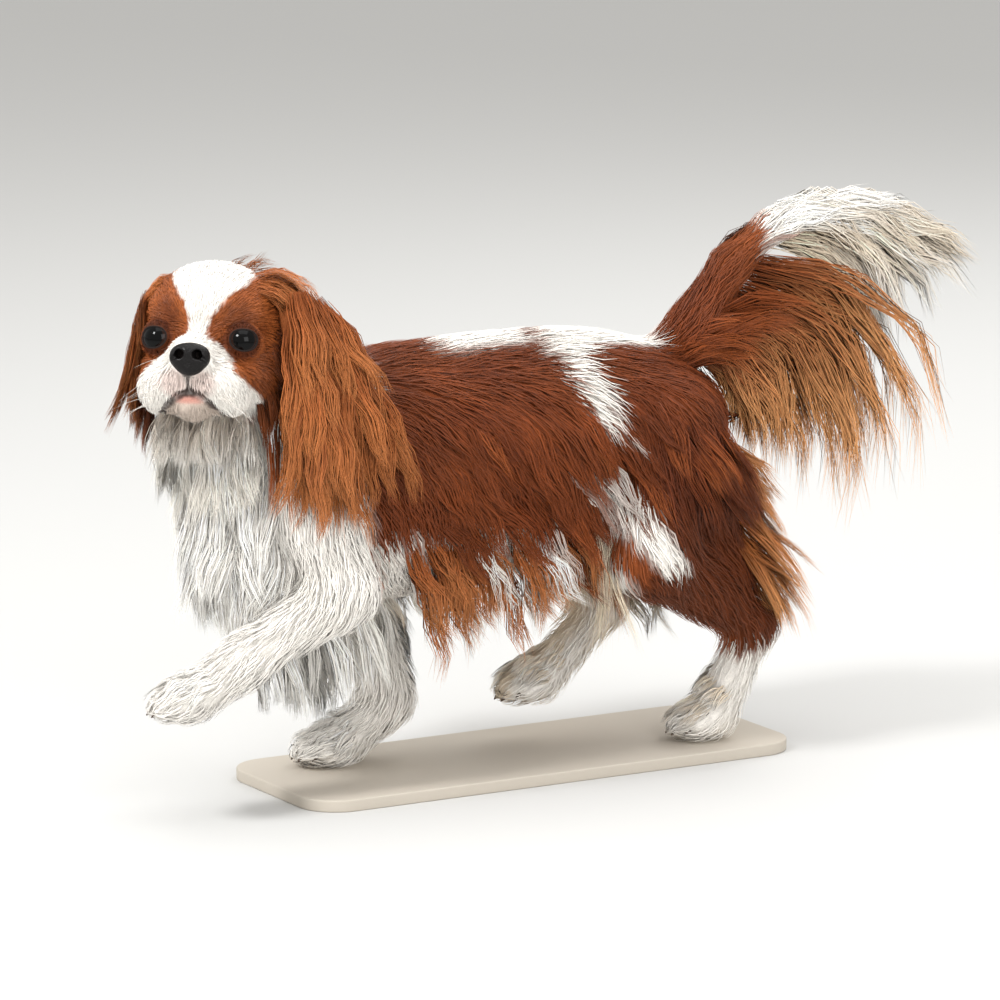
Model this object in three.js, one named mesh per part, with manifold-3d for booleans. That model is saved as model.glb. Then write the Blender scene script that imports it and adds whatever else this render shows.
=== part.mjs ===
// A cavalier king charles spaniel at a trot, life size, on a plain board that keeps it upright.
// The dog faces -Y with its head turned to its left, its left side is +X, and Z is up.
// Everything is in millimetres, measured from the middle of the board's top, under the dog.
import * as THREE from "three";
import { mergeVertices } from "three/addons/utils/BufferGeometryUtils.js";
import Module from "manifold-3d";

const wasm = await Module();
wasm.setup();

// Driving dimensions
const GAP = 0.3; // between solids that touch
const BOARD = { width: 150, length: 410, thick: 9, corner: 30, middleY: 12 };
const EYE_RADIUS = 12.5;
const EYE_SPREAD = 29.8; // from the middle of the face to the middle of an eye
const HEAD_TURN = 49; // degrees that the head is turned to the dog's left
const HEAD_LIFT = 17; // degrees that the muzzle points above level
const EYE_LINE = [50, -274, 342]; // midway between the eyes

const at = (x, y, z) => new THREE.Vector3(x, y, z);
const UP = at(0, 0, 1);
const { clamp, lerp, degToRad } = THREE.MathUtils;

// The head's own axes: left, forward and up, and a place given along them from between the eyes.
const turn = degToRad(HEAD_TURN);
const lift = degToRad(HEAD_LIFT);
const HEAD_FORWARD = at(
  Math.sin(turn) * Math.cos(lift),
  -Math.cos(turn) * Math.cos(lift),
  Math.sin(lift),
);
const HEAD_LEFT = at(Math.cos(turn), Math.sin(turn), 0);
const HEAD_UP = HEAD_LEFT.clone().cross(HEAD_FORWARD).negate();
const HEAD_AXES = new THREE.Matrix4()
  .makeBasis(HEAD_LEFT, HEAD_FORWARD, HEAD_UP)
  .setPosition(...EYE_LINE);
const onHead = (left, forward, up) => at(left, forward, up).applyMatrix4(HEAD_AXES);

// A form is a function of a point: how far it lies outside a surface, and below zero inside.
const ball = (centre, radius) => (p) => p.distanceTo(centre) - radius;

function egg(centre, radii, axes = new THREE.Matrix4()) {
  const inward = axes.clone().setPosition(centre).invert();
  return (p) => {
    const q = p.clone().applyMatrix4(inward).divide(radii);
    const near = q.length();
    const steep = q.divide(radii).length();
    return steep > 1e-9 ? (near * (near - 1)) / steep : -Math.min(radii.x, radii.y, radii.z);
  };
}

// A tapered limb between two balls.
function limb(from, to, startRadius, endRadius) {
  const axis = to.clone().sub(from);
  return (p) => {
    const share = clamp(p.clone().sub(from).dot(axis) / axis.lengthSq(), 0, 1);
    const near = from.clone().addScaledVector(axis, share);
    return p.distanceTo(near) - lerp(startRadius, endRadius, share);
  };
}

// Forms flowing into each other over a distance.
const fuse = (blend, ...forms) => (p) =>
  forms
    .map((form) => form(p))
    .reduce((a, b) => {
      const mix = Math.max(blend - Math.abs(a - b), 0) / blend;
      return Math.min(a, b) - (mix * mix * blend) / 4;
    });

// A form with another scooped out of it, with a soft edge.
const scoop = (blend, form, ...tools) => {
  const tool = fuse(blend, ...tools);
  const inverse = fuse(blend, (p) => -form(p), tool);
  return (p) => -inverse(p);
};

// The trunk's sections from chest to rump: place along Y, half width, top and bottom.
const TRUNK = [
  [-172, 54, 288, 140],
  [-150, 64, 303, 133],
  [-115, 73, 315, 129],
  [-60, 79, 317, 132],
  [0, 77, 318, 143],
  [50, 70, 317, 158],
  [100, 66, 309, 171],
  [138, 57, 294, 184],
  [160, 46, 279, 196],
];
const TRUNK_END = 26; // how far the trunk is rounded off past its first and last section

// A column of the trunk's table at a place along Y, on a smooth curve through its sections.
function trunkSize(column, y) {
  const last = TRUNK.length - 1;
  const slope = (i) => {
    const before = TRUNK[Math.max(i - 1, 0)];
    const after = TRUNK[Math.min(i + 1, last)];
    return (after[column] - before[column]) / (after[0] - before[0]);
  };
  const place = clamp(y, TRUNK[0][0], TRUNK[last][0]);
  let i = 0;
  while (i < last - 1 && place > TRUNK[i + 1][0]) i += 1;
  const step = TRUNK[i + 1][0] - TRUNK[i][0];
  const t = (place - TRUNK[i][0]) / step;
  const rise = t * t * (3 - 2 * t);
  const leave = t * (1 - t) * (1 - t) * step * slope(i);
  const arrive = t * t * (t - 1) * step * slope(i + 1);
  return lerp(TRUNK[i][column], TRUNK[i + 1][column], rise) + leave + arrive;
}

function trunk(p) {
  const first = TRUNK[0][0];
  const last = TRUNK[TRUNK.length - 1][0];
  const past = Math.max(first - p.y, p.y - last, 0) / TRUNK_END;
  const shrink = Math.sqrt(Math.max(1 - past * past, 0.0004));
  const top = trunkSize(2, p.y);
  const bottom = trunkSize(3, p.y);
  const wide = trunkSize(1, p.y) * shrink;
  const high = ((top - bottom) / 2) * shrink;
  return (Math.hypot(p.x / wide, (p.z - (top + bottom) / 2) / high) - 1) * Math.min(wide, high);
}

// A closed surface from a function of two shares: v runs from pole to pole and u goes round.
function closedSurface(rows, columns, pointAt) {
  const points = [pointAt(0, 0)];
  for (let row = 1; row < rows; row += 1) {
    for (let column = 0; column < columns; column += 1) {
      points.push(pointAt(row / rows, column / columns));
    }
  }
  const last = points.push(pointAt(1, 0)) - 1;
  const index = (row, column) => 1 + (row - 1) * columns + (column % columns);
  const faces = [];
  for (let column = 0; column < columns; column += 1) {
    faces.push(0, index(1, column), index(1, column + 1));
    faces.push(last, index(rows - 1, column + 1), index(rows - 1, column));
    for (let row = 1; row < rows - 1; row += 1) {
      const [a, b] = [index(row, column), index(row, column + 1)];
      const [c, d] = [index(row + 1, column), index(row + 1, column + 1)];
      faces.push(a, c, b, b, c, d);
    }
  }
  return new THREE.BufferGeometry().setFromPoints(points).setIndex(faces);
}

// How fast a form grows at a point along each axis, and the direction in which it grows fastest
const SLOPE_STEP = 0.5;
const steepness = (form, p) => {
  const along = (axis) =>
    form(p.clone().addScaledVector(axis, SLOPE_STEP)) - form(p.clone().addScaledVector(axis, -SLOPE_STEP));
  return at(along(at(1, 0, 0)), along(at(0, 1, 0)), along(UP)).divideScalar(2 * SLOPE_STEP);
};
const outwards = (form, p) => steepness(form, p).normalize();

// The surface of a form inside a box, as a net of quads over a grid of cells. Each cell that the
// surface passes through has one corner of the net, which is then moved onto the surface. With
// grow the corners end that far off. With closer the cells shorten towards the high end of Y.
const NET_STEPS = 5; // moves of each corner towards the surface
const CELL_CORNERS = [0, 1].flatMap((i) => [0, 1].flatMap((j) => [0, 1].map((k) => [i, j, k])));
const AXES = [[1, 0, 0], [0, 1, 0], [0, 0, 1]];

function netOf(form, { low, high, cell, closer = 0 }, grow = 0) {
  const size = at(...cell);
  const counts = high.clone().sub(low).divide(size).ceil().addScalar(1).toArray();
  const number = (i, j, k) => (i * counts[1] + j) * counts[2] + k;
  const place = (i, j, k) => {
    const share = j / (counts[1] - 1);
    const depth = lerp(low.y, high.y, share + closer * share * (1 - share));
    return at(low.x + i * size.x, depth, low.z + k * size.z);
  };
  const everyCell = (visit) => {
    for (let i = 0; i < counts[0] - 1; i += 1) {
      for (let j = 0; j < counts[1] - 1; j += 1) {
        for (let k = 0; k < counts[2] - 1; k += 1) visit(i, j, k);
      }
    }
  };
  const values = new Float64Array(counts[0] * counts[1] * counts[2]).fill(1);
  everyCell((i, j, k) => {
    if (i * j * k > 0) values[number(i, j, k)] = form(place(i, j, k));
  });
  const corners = [];
  const cornerOf = new Map();
  everyCell((i, j, k) => {
    const inside = CELL_CORNERS.filter(([a, b, c]) => values[number(i + a, j + b, k + c)] < 0);
    if (inside.length === 0 || inside.length === 8) return;
    const p = place(i + 0.5, j + 0.5, k + 0.5);
    const [from, to] = [place(i, j, k), place(i + 1, j + 1, k + 1)];
    for (let step = 0; step < NET_STEPS; step += 1) {
      const slope = steepness(form, p);
      p.addScaledVector(slope, -form(p) / Math.max(slope.lengthSq(), 0.1)).clamp(from, to);
    }
    cornerOf.set(number(i, j, k), corners.push(p) - 1);
  });
  const faces = [];
  everyCell((i, j, k) => {
    AXES.forEach(([a, b, c], axis) => {
      const here = values[number(i, j, k)] < 0;
      if (here === values[number(i + a, j + b, k + c)] < 0) return;
      const [s, t] = [AXES[(axis + 1) % 3], AXES[(axis + 2) % 3]];
      const quad = [[0, 0], [1, 0], [1, 1], [0, 1]].map(([m, n]) =>
        cornerOf.get(number(i - m * s[0] - n * t[0], j - m * s[1] - n * t[1], k - m * s[2] - n * t[2])),
      );
      if (!here) quad.reverse();
      const [p, q, r, o] = quad;
      const short = corners[p].distanceTo(corners[r]) < corners[q].distanceTo(corners[o]);
      faces.push(...(short ? [p, q, r, p, r, o] : [q, r, o, q, o, p]));
    });
  });
  for (const p of corners) p.addScaledVector(outwards(form, p), grow);
  return new THREE.BufferGeometry().setFromPoints(corners).setIndex(faces);
}

// A closed tapered piece along a curve: a lock of hair, a claw or the leather of an ear. Its wide
// side lies square to out, and cup bends its edges back from out.
const WIDEST = 0.3; // share of its length at which a piece is widest
const ROOT_WIDTH = 0.6; // share of its width that a piece has at its root
const TIP_CURVE = 1.7; // how suddenly a piece narrows to its tip
const TIP_THICKNESS = 0.4; // share of its thickness that a piece has at its tip
function flap({ path, out, width, thick, cup = 0, rings = 4, sides = 3 }, grow) {
  const margin = (1.2 * grow) / Math.cos(Math.PI / sides);
  return closedSurface(rings, sides, (v, u) => {
    const tangent = path.getTangent(v);
    const across = tangent.clone().cross(out).normalize();
    const face = across.clone().cross(tangent).normalize();
    const past = (v - WIDEST) / (1 - WIDEST);
    const taper = past < 0 ? lerp(ROOT_WIDTH, 1, v / WIDEST) : 1 - past ** TIP_CURVE;
    const end = v === 0 ? -1 : Number(v === 1);
    const [side, front] = end ? [0, 0] : [Math.sin(2 * Math.PI * u), Math.cos(2 * Math.PI * u)];
    return path
      .getPoint(v)
      .addScaledVector(across, side * ((width / 2) * taper + margin))
      .addScaledVector(face, front * ((thick / 2) * lerp(TIP_THICKNESS, 1, taper) + margin))
      .addScaledVector(face, -cup * (side * taper) ** 2)
      .addScaledVector(tangent, end * margin);
  });
}

// Numbers from 0 to 1 that are the same on every run.
function seeded(seed) {
  let state = seed;
  return () => {
    state = (state * 1664525 + 1013904223) % 4294967296;
    return state / 4294967296;
  };
}

// What the head is made of
const headEgg = (centre, radii) => egg(onHead(...centre), at(...radii), HEAD_AXES);
const bothSides = (make) => [-1, 1].map(make);
const eyeCentre = (side) => onHead(side * EYE_SPREAD, -8, 0);
const headForm = scoop(
  5,
  fuse(
    11,
    headEgg([0, -45, 17], [51, 50, 45]),
    ...bothSides((side) => headEgg([side * 19, -13, 19], [21, 16, 15])),
    ...bothSides((side) => headEgg([side * 29, -34, -22], [24, 30, 27])),
    ...bothSides((side) => headEgg([side * 20, 7, -33], [20, 23, 18])),
    limb(onHead(0, -20, -14), onHead(0, 17, -17), 24, 19),
    limb(onHead(0, -30, -42), onHead(0, 8, -47), 19, 13),
    headEgg([0, -42, -30], [42, 34, 34]),
  ),
  ...bothSides((side) => ball(onHead(side * (EYE_SPREAD + 1), 6, 0), 9)),
);
const noseForm = fuse(
  4,
  headEgg([0, 33, -15], [12.5, 8, 8]),
  ...bothSides((side) => headEgg([side * 7, 33, -19], [7.5, 7, 8])),
  headEgg([0, 32, -26], [6, 5, 7]),
);

const neckForm = fuse(
  16,
  limb(at(0, -150, 256), at(6, -200, 292), 60, 54),
  limb(at(6, -200, 292), at(14, -236, 322), 54, 46),
);
const chestForm = fuse(
  14,
  egg(at(0, -198, 202), at(56, 52, 62)),
  egg(at(2, -218, 254), at(46, 42, 50)),
);

// Each leg's joints, from the body to the toes
const FORELEGS = {
  left: {
    shoulder: at(48, -186, 212),
    elbow: at(64, -168, 152),
    wrist: at(56, -246, 106),
    palm: at(54, -280, 86),
    toe: at(52, -306, 80),
  },
  right: {
    shoulder: at(-48, -168, 212),
    elbow: at(-54, -100, 148),
    wrist: at(-38, -74, 42),
    palm: at(-33, -112, 17),
    toe: at(-30, -146, 12),
  },
};
const HINDLEGS = {
  left: {
    hip: at(40, 116, 236),
    knee: at(62, 90, 154),
    hock: at(42, 194, 86),
    palm: at(34, 166, 18),
    toe: at(32, 138, 12),
  },
  right: {
    hip: at(-40, 116, 236),
    knee: at(-60, 62, 156),
    hock: at(-42, 116, 96),
    palm: at(-36, 58, 46),
    toe: at(-34, 28, 38),
  },
};
const foreForm = ({ shoulder, elbow, wrist }) =>
  fuse(14, limb(shoulder, elbow, 34, 28), limb(elbow, wrist, 25, 17), ball(shoulder, 38));
const hindForm = ({ hip, knee, hock }) =>
  fuse(
    18,
    limb(hip, knee, 46, 32),
    limb(knee, hock, 31, 17),
    limb(hip, hock.clone().lerp(hip, 0.3), 44, 22),
  );

const TOE_SPREAD = 8.5; // between the middles of two toes
const TOE_COUNT = 4;
const TOE_RADIUS = 8.5;

// The four toes of a paw, each a place for its knuckle and its tip.
function toesOf({ palm, toe }) {
  const forward = toe.clone().sub(palm).normalize();
  const sideways = forward.clone().cross(UP).normalize();
  return Array.from({ length: TOE_COUNT }, (_, i) => {
    const off = i - (TOE_COUNT - 1) / 2;
    const outer = Math.abs(off) > 1 ? 1 : 0;
    const knuckle = palm.clone().lerp(toe, 0.45).addScaledVector(sideways, off * TOE_SPREAD);
    const tip = toe
      .clone()
      .addScaledVector(sideways, off * TOE_SPREAD * 1.05)
      .addScaledVector(forward, -7 * outer);
    return { knuckle, tip, forward };
  });
}

const pawForm = (leg, start, startRadius) =>
  fuse(
    7,
    limb(start, leg.palm, startRadius, 17),
    egg(leg.palm.clone().lerp(leg.toe, 0.25), at(20, 20, 17)),
    ...toesOf(leg).map(({ knuckle, tip }) => limb(knuckle, tip, TOE_RADIUS + 2, TOE_RADIUS)),
  );

// The dock of the tail, from the rump to its tip
const DOCK = [
  at(0, 138, 276),
  at(0, 168, 310),
  at(2, 196, 350),
  at(4, 232, 378),
  at(6, 270, 385),
  at(8, 298, 376),
];
const DOCK_RADII = [25, 20, 16, 13, 11, 8];
const dockForm = (from, to) => {
  const stretches = [];
  for (let i = from; i < to; i += 1) {
    stretches.push(limb(DOCK[i], DOCK[i + 1], DOCK_RADII[i], DOCK_RADII[i + 1]));
  }
  return fuse(10, ...stretches);
};

// The leather of each ear hangs from the side of the skull and swings back a little.
const EARS = {
  left: {
    line: [onHead(46, -30, 41), at(70, -208, 344), at(86, -190, 306), at(94, -180, 268)],
    out: at(0.9, -0.3, 0.1),
    width: 54,
  },
  right: {
    line: [onHead(-42, -32, 41), onHead(-54, -31, 25), onHead(-56, -28, -6), onHead(-56, -26, -34)],
    out: HEAD_LEFT.clone().negate(),
    width: 54,
  },
};

// The whole body as one form, which the parts below are cut from
const bodyForm = fuse(
  14,
  trunk,
  chestForm,
  neckForm,
  headForm,
  dockForm(0, DOCK.length - 1),
  ...Object.values(FORELEGS).flatMap((leg) => [foreForm(leg), pawForm(leg, leg.wrist, 17)]),
  ...Object.values(HINDLEGS).flatMap((leg) => [hindForm(leg), pawForm(leg, leg.hock, 16)]),
);

// Locks grow in a row, from a line of roots on the body. Along it the way that they leave the
// body, the way that their tips point and their length change from one end to the other. Every
// second lock lies over its neighbours.
const SINK = 6; // how deep a lock's root lies in what it grows from
const LOCK_STEPS = 7;
const ROOT_STEPS = 6; // moves of a root onto the surface
const SCATTER = 0.16; // how far locks vary in way, length and width
const CLEAR = 0.45; // how far off the body a lock stays, as a share of its thickness

const curve = (points) => new THREE.CatmullRomCurve3(points.map((p) => at(...p)));
const line = (numbers) => curve(numbers.map((n) => [n, 0, 0]));
const flip = ([x, y, z]) => [-x, y, z];
const mirrored = (row) => ({
  ...row,
  roots: row.roots.map(flip),
  leave: row.leave.map(flip),
  end: row.end.map(flip),
  out: row.out && flip(row.out),
  seed: row.seed + 50,
});

function locksIn({ roots, leave, end, lengths, count, width, thick, seed, out, sink = SINK }) {
  const draw = seeded(seed);
  const stray = () => SCATTER * (2 * draw() - 1);
  const [rootLine, leaveLine, endLine, lengthLine] = [curve(roots), curve(leave), curve(end), line(lengths)];
  return Array.from({ length: count }, (_, i) => {
    const share = clamp((i + 0.5 + 2 * stray()) / count, 0, 1);
    const root = rootLine.getPoint(share);
    for (let step = 0; step < ROOT_STEPS && !out; step += 1) {
      root.addScaledVector(outwards(bodyForm, root), -bodyForm(root));
    }
    const normal = out ? at(...out).normalize() : outwards(bodyForm, root);
    const first = leaveLine.getPoint(share).normalize().add(at(stray(), stray(), stray()));
    const last = endLine.getPoint(share).normalize().add(at(stray(), stray(), stray()));
    const length = lengthLine.getPoint(share).x * (1 + stray());
    const points = [root.clone().addScaledVector(normal, -sink), root.clone()];
    const p = root.clone();
    const layer = thick * (i % 2);
    for (let step = 0; step < LOCK_STEPS; step += 1) {
      const along = (step + 0.5) / LOCK_STEPS;
      p.addScaledVector(first.clone().lerp(last, along).normalize(), length / LOCK_STEPS);
      const short = CLEAR * thick - bodyForm(p);
      if (short > 0) p.addScaledVector(outwards(bodyForm, p), short);
      points.push(p.clone().addScaledVector(normal, layer * Math.min(2.5 * along, 1)));
    }
    const path = new THREE.CatmullRomCurve3(points);
    return { path, out: normal, width: width * (1 + stray()), thick };
  });
}

const CHESTNUT = { color: 0x6e3216, roughness: 0.55, metalness: 0 };
const RUST = { color: 0xa55c2a, roughness: 0.5, metalness: 0 };
const WHITE = { color: 0xece4da, roughness: 0.6, metalness: 0 };
const BLACK = { color: 0x161211, roughness: 0.3, metalness: 0 };
const EYE = { color: 0x1c0f0a, roughness: 0.05, metalness: 0 };
const BOARD_PAINT = { color: 0xb9aa94, roughness: 0.7, metalness: 0 };

// A claw grows out of the tip of each toe and bends down.
const clawsOf = (leg) =>
  toesOf(leg).map(({ tip, forward }) => {
    const start = tip.clone().addScaledVector(forward, 2);
    const middle = start.clone().addScaledVector(forward, 8).addScaledVector(UP, -1);
    const end = start.clone().addScaledVector(forward, 12).addScaledVector(UP, -4);
    return { path: new THREE.CatmullRomCurve3([start, middle, end]), out: UP, width: 4.5, thick: 4.5 };
  });

const boardShape = () => {
  const { width, length, corner } = BOARD;
  const [x, y] = [width / 2, length / 2];
  return new THREE.Shape()
    .moveTo(-x + corner, -y)
    .lineTo(x - corner, -y)
    .absarc(x - corner, -y + corner, corner, -Math.PI / 2, 0)
    .lineTo(x, y - corner)
    .absarc(x - corner, y - corner, corner, 0, Math.PI / 2)
    .lineTo(-x + corner, y)
    .absarc(-x + corner, y - corner, corner, Math.PI / 2, Math.PI)
    .lineTo(-x, -y + corner)
    .absarc(-x + corner, -y + corner, corner, Math.PI, 1.5 * Math.PI);
};
const boardSolid = (grow) =>
  new THREE.ExtrudeGeometry(boardShape(), { depth: BOARD.thick, bevelEnabled: false, curveSegments: 3 })
    .translate(0, BOARD.middleY, grow - BOARD.thick);

// The rim of each eyelid and the groove of the mouth
const lid = (side) => (grow) => {
  const look = at(side * 0.34, 0.94, 0.02).normalize();
  const facing = new THREE.Quaternion().setFromUnitVectors(UP, look);
  return new THREE.TorusGeometry(11.4, 2.3 + grow, 5, 12)
    .applyQuaternion(facing)
    .translate(side * (EYE_SPREAD + 2), -1.2, 0)
    .applyMatrix4(HEAD_AXES);
};
const MOUTH = [
  [-36, -8, -54], [-24, 14, -52], [-12, 27, -45], [0, 31, -40], [12, 27, -45], [24, 14, -52], [36, -8, -54],
];
const mouthGroove = () =>
  flap({
    path: new THREE.CatmullRomCurve3(MOUTH.map(([left, forward, up]) => onHead(left, forward, up))),
    out: HEAD_UP,
    width: 14,
    thick: 2.4,
    rings: 14,
  }, 0);
const nostril = (side) => () =>
  new THREE.SphereGeometry(1, 8, 6)
    .scale(2.6, 5, 2.9)
    .rotateZ(side * 0.5)
    .translate(side * 6.2, 39, -16)
    .applyMatrix4(HEAD_AXES);

// Everything on one side of a plane, on the side that the way points to
const VAST = 800; // larger than the whole dog
const beyond = (point, way) => (grow) =>
  new THREE.BoxGeometry(VAST, VAST, VAST)
    .translate(0, 0, VAST / 2 - grow)
    .applyQuaternion(new THREE.Quaternion().setFromUnitVectors(UP, way.clone().normalize()))
    .translate(...point);
const ZONE_CELL = [30, 30, 34];
const around = (form, { low, high }) => (grow) => netOf(form, { low, high, cell: ZONE_CELL }, 2 * grow);
const box = (points, margin) => {
  const bounds = new THREE.Box3().setFromPoints(points).expandByScalar(margin);
  return { low: bounds.min, high: bounds.max };
};

// The parts of the body: where each is cut from it, and how fine its net is
const FLOOR_WAY = beyond(at(0, 0, 0), UP);
const LARGE = { low: at(-140, -300, 20), high: at(140, 300, 400) };
const HEAD_BOX = { low: at(-78, -112, -84), high: at(78, 56, 74) }; // along the head's own axes
const parts = [
  {
    name: "head",
    paint: CHESTNUT,
    cell: [11, 11.5, 11],
    closer: 0.35,
    axes: HEAD_AXES,
    ...HEAD_BOX,
    region: [beyond(at(10, -212, 318), at(0.13, -0.78, 0.6))],
    extras: bothSides(lid),
    cuts: [mouthGroove],
  },
  {
    name: "tail_tip",
    paint: WHITE,
    cell: [11, 14, 11],
    ...box(DOCK.slice(3), 30),
    region: [beyond(DOCK[3], DOCK[4].clone().sub(DOCK[2]))],
  },
  {
    name: "tail_root",
    paint: CHESTNUT,
    cell: [13, 16, 16],
    ...LARGE,
    region: [beyond(at(0, 146, 287), at(0, 0.66, 0.75))],
  },
];
for (const [name, legs, splitAt] of [["foreleg", FORELEGS, "wrist"], ["hindleg", HINDLEGS, "hock"]]) {
  for (const [side, leg] of Object.entries(legs)) {
    const outer = at(side === "left" ? 12 : -12, 0, 0);
    const top = (leg.shoulder ?? leg.hip).clone().add(outer);
    const bend = leg.elbow ?? leg.knee;
    const split = leg[splitAt];
    const zone = fuse(
      20,
      limb(top, bend, name === "foreleg" ? 40 : 54, 46),
      limb(bend, split, 44, 34),
      limb(split, leg.toe, 40, 50),
      ...(leg.hip ? [limb(top, split, 50, 36)] : []),
    );
    const zoneBox = box([top, bend, split, leg.palm, leg.toe], 62);
    const pawZone = fuse(20, limb(split, leg.palm, 36, 38), limb(leg.palm, leg.toe, 38, 44));
    const below = beyond(split.clone().lerp(leg.palm, 0.12), leg.palm.clone().sub(split));
    parts.push(
      {
        name: `${name}_${side}_paw`,
        paint: WHITE,
        cell: leg.hip ? [10, 11, 13] : [9.5, 10, 10.5],
        ...box([split, leg.palm, leg.toe], 34),
        region: [around(pawZone, zoneBox), below, FLOOR_WAY],
        extras: clawsOf(leg).map((claw) => (grow) => flap({ rings: 3, ...claw }, grow)),
      },
      {
        name: `${name}_${side}`,
        paint: leg.hip ? CHESTNUT : WHITE,
        cell: leg.hip ? [18, 20, 24] : [16, 18, 24],
        ...LARGE,
        region: [around(zone, zoneBox)],
      },
    );
  }
}
parts.push(
  {
    name: "neck",
    paint: CHESTNUT,
    cell: [22, 22, 22],
    ...LARGE,
    region: [beyond(at(0, -180, 265), at(0, -0.673, 0.74))],
  },
  {
    name: "torso",
    paint: CHESTNUT,
    cell: [20, 34, 20],
    ...LARGE,
    region: [beyond(at(0, 0, -300), UP)],
  },
);

// The coat of each part, as rows of locks
const bothWays = (row) => [row, mirrored(row)];
const CHEST_COAT = [
  { roots: [[-50, -216, 236], [0, -256, 240], [50, -216, 236]], lengths: [70, 84, 70], count: 5, seed: 1 },
  { roots: [[-54, -208, 196], [0, -250, 196], [54, -208, 196]], lengths: [72, 86, 72], count: 5, seed: 2 },
  { roots: [[-40, -206, 158], [0, -238, 156], [40, -206, 158]], lengths: [50, 62, 50], count: 4, seed: 3 },
].map((row) => ({
  leave: [[-0.3, -0.3, -0.9], [0, -0.4, -0.9], [0.3, -0.3, -0.9]],
  end: [[0, 0.2, -1], [0, 0.15, -1], [0, 0.2, -1]],
  width: 44,
  thick: 13,
  ...row,
}));
const SIDE_COAT = [
  { roots: [[66, -116, 284], [64, -10, 286], [58, 84, 280]], count: 4, seed: 5 },
  { roots: [[80, -100, 232], [76, 0, 234], [70, 66, 234]], count: 4, seed: 6 },
].map((row) => ({
  leave: [[0.2, 0.9, -0.3], [0.2, 0.9, -0.3], [0.2, 0.9, -0.3]],
  end: [[0, 0.5, -1], [0, 0.4, -1], [0, 0.5, -1]],
  lengths: [88, 88, 84],
  width: 40,
  thick: 9,
  ...row,
}));
const FRINGE = [
  { roots: [[68, -112, 165], [72, -20, 168], [64, 62, 182]], lengths: [80, 78, 82], count: 7, seed: 7 },
  { roots: [[46, -104, 142], [50, -20, 148], [42, 70, 168]], lengths: [52, 54, 60], count: 4, seed: 8 },
].map((row) => ({
  leave: [[0.25, 0.4, -0.9], [0.2, 0.4, -0.9], [0.2, 0.4, -0.9]],
  end: [[-0.1, 0.3, -1], [-0.1, 0.25, -1], [0, 0.2, -1]],
  width: 33,
  thick: 8,
  ...row,
}));
const BELLY = {
  roots: [[0, -120, 132], [0, -20, 142], [0, 60, 160]],
  leave: [[0, 0.5, -0.8], [0, 0.5, -0.8], [0, 0.4, -0.8]],
  end: [[0, 0.2, -1], [0, 0.2, -1], [0, 0.2, -1]],
  lengths: [36, 42, 44],
  width: 30,
  thick: 9,
  count: 3,
  seed: 9,
};
const SKIRT = {
  roots: [[62, 62, 222], [66, 56, 200], [60, 60, 176]],
  leave: [[0.3, 0.6, -0.8], [0.3, 0.3, -1], [0.2, 0, -1]],
  end: [[0, 0.25, -1], [0, 0.1, -1], [0, 0, -1]],
  lengths: [116, 126, 112],
  width: 24,
  thick: 8,
  count: 4,
  seed: 10,
};
const THIGH_COAT = {
  roots: [[66, 96, 262], [78, 124, 240], [66, 150, 244]],
  leave: [[0.2, 0.5, -0.9], [0.2, 0.5, -0.9], [0.2, 0.7, -0.8]],
  end: [[0, 0.4, -1], [0, 0.5, -1], [0, 0.5, -1]],
  lengths: [80, 84, 70],
  width: 32,
  thick: 9,
  count: 3,
  seed: 11,
};
const BREECHES = [
  { roots: [[52, 164, 256], [58, 170, 206], [52, 172, 160], [44, 188, 118]], seed: 12, count: 5 },
  { roots: [[30, 170, 250], [32, 172, 206], [36, 170, 160], [38, 186, 120]], seed: 13, count: 4 },
].map((row) => ({
  leave: [[0.1, 0.9, -0.4], [0.1, 0.9, -0.6], [0.1, 0.9, -0.6], [0, 0.8, -0.7]],
  end: [[0, 0.4, -1], [0, 0.35, -1], [0, 0.25, -1], [0, 0.1, -1]],
  lengths: [72, 80, 76, 36],
  width: 25,
  thick: 8,
  ...row,
}));
const BREECHES_FAR = BREECHES.map((row) => ({
  ...mirrored(row),
  roots: row.roots.map(([x, y, z], i) => [-x, y - [0, 6, 22, 66][i], z + [0, 0, 0, 8][i]]),
}));
const FEATHER = [
  { roots: [[76, -150, 150], [70, -196, 122], [64, -238, 96]], seed: 14, count: 5 },
  { roots: [[58, -146, 146], [56, -192, 116], [54, -232, 92]], seed: 15, count: 3 },
].map((row) => ({
  leave: [[0, 0.5, -0.9], [0, 0.3, -1], [0, 0.2, -1]],
  end: [[0, -0.1, -1], [0, -0.1, -1], [0, 0, -1]],
  lengths: [66, 68, 30],
  width: 22,
  thick: 7,
  ...row,
}));
const FEATHER_FAR = {
  roots: [[-56, -76, 146], [-50, -62, 110], [-42, -56, 66]],
  leave: [[0, 0.8, -0.7], [0, 0.8, -0.8], [0, 0.8, -0.8]],
  end: [[0, 0.3, -1], [0, 0.2, -1], [0, 0.2, -1]],
  lengths: [52, 46, 26],
  width: 20,
  thick: 7,
  count: 5,
  seed: 16,
};
const RUFF = {
  roots: [[58, -226, 306], [60, -196, 288], [62, -160, 296]],
  leave: [[0.5, -0.3, -0.8], [0.4, 0.1, -0.9], [0.3, 0.5, -0.8]],
  end: [[0, -0.1, -1], [0, 0.1, -1], [0, 0.3, -1]],
  lengths: [78, 84, 84],
  width: 36,
  thick: 9,
  count: 3,
  seed: 17,
};
const THROAT = {
  roots: [[-40, -246, 280], [0, -268, 278], [44, -244, 282]],
  leave: [[-0.3, -0.4, -0.9], [0, -0.5, -0.9], [0.4, -0.3, -0.9]],
  end: [[0, 0.1, -1], [0, 0.05, -1], [0, 0.1, -1]],
  lengths: [66, 72, 66],
  width: 42,
  thick: 10,
  count: 5,
  seed: 18,
};
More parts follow.
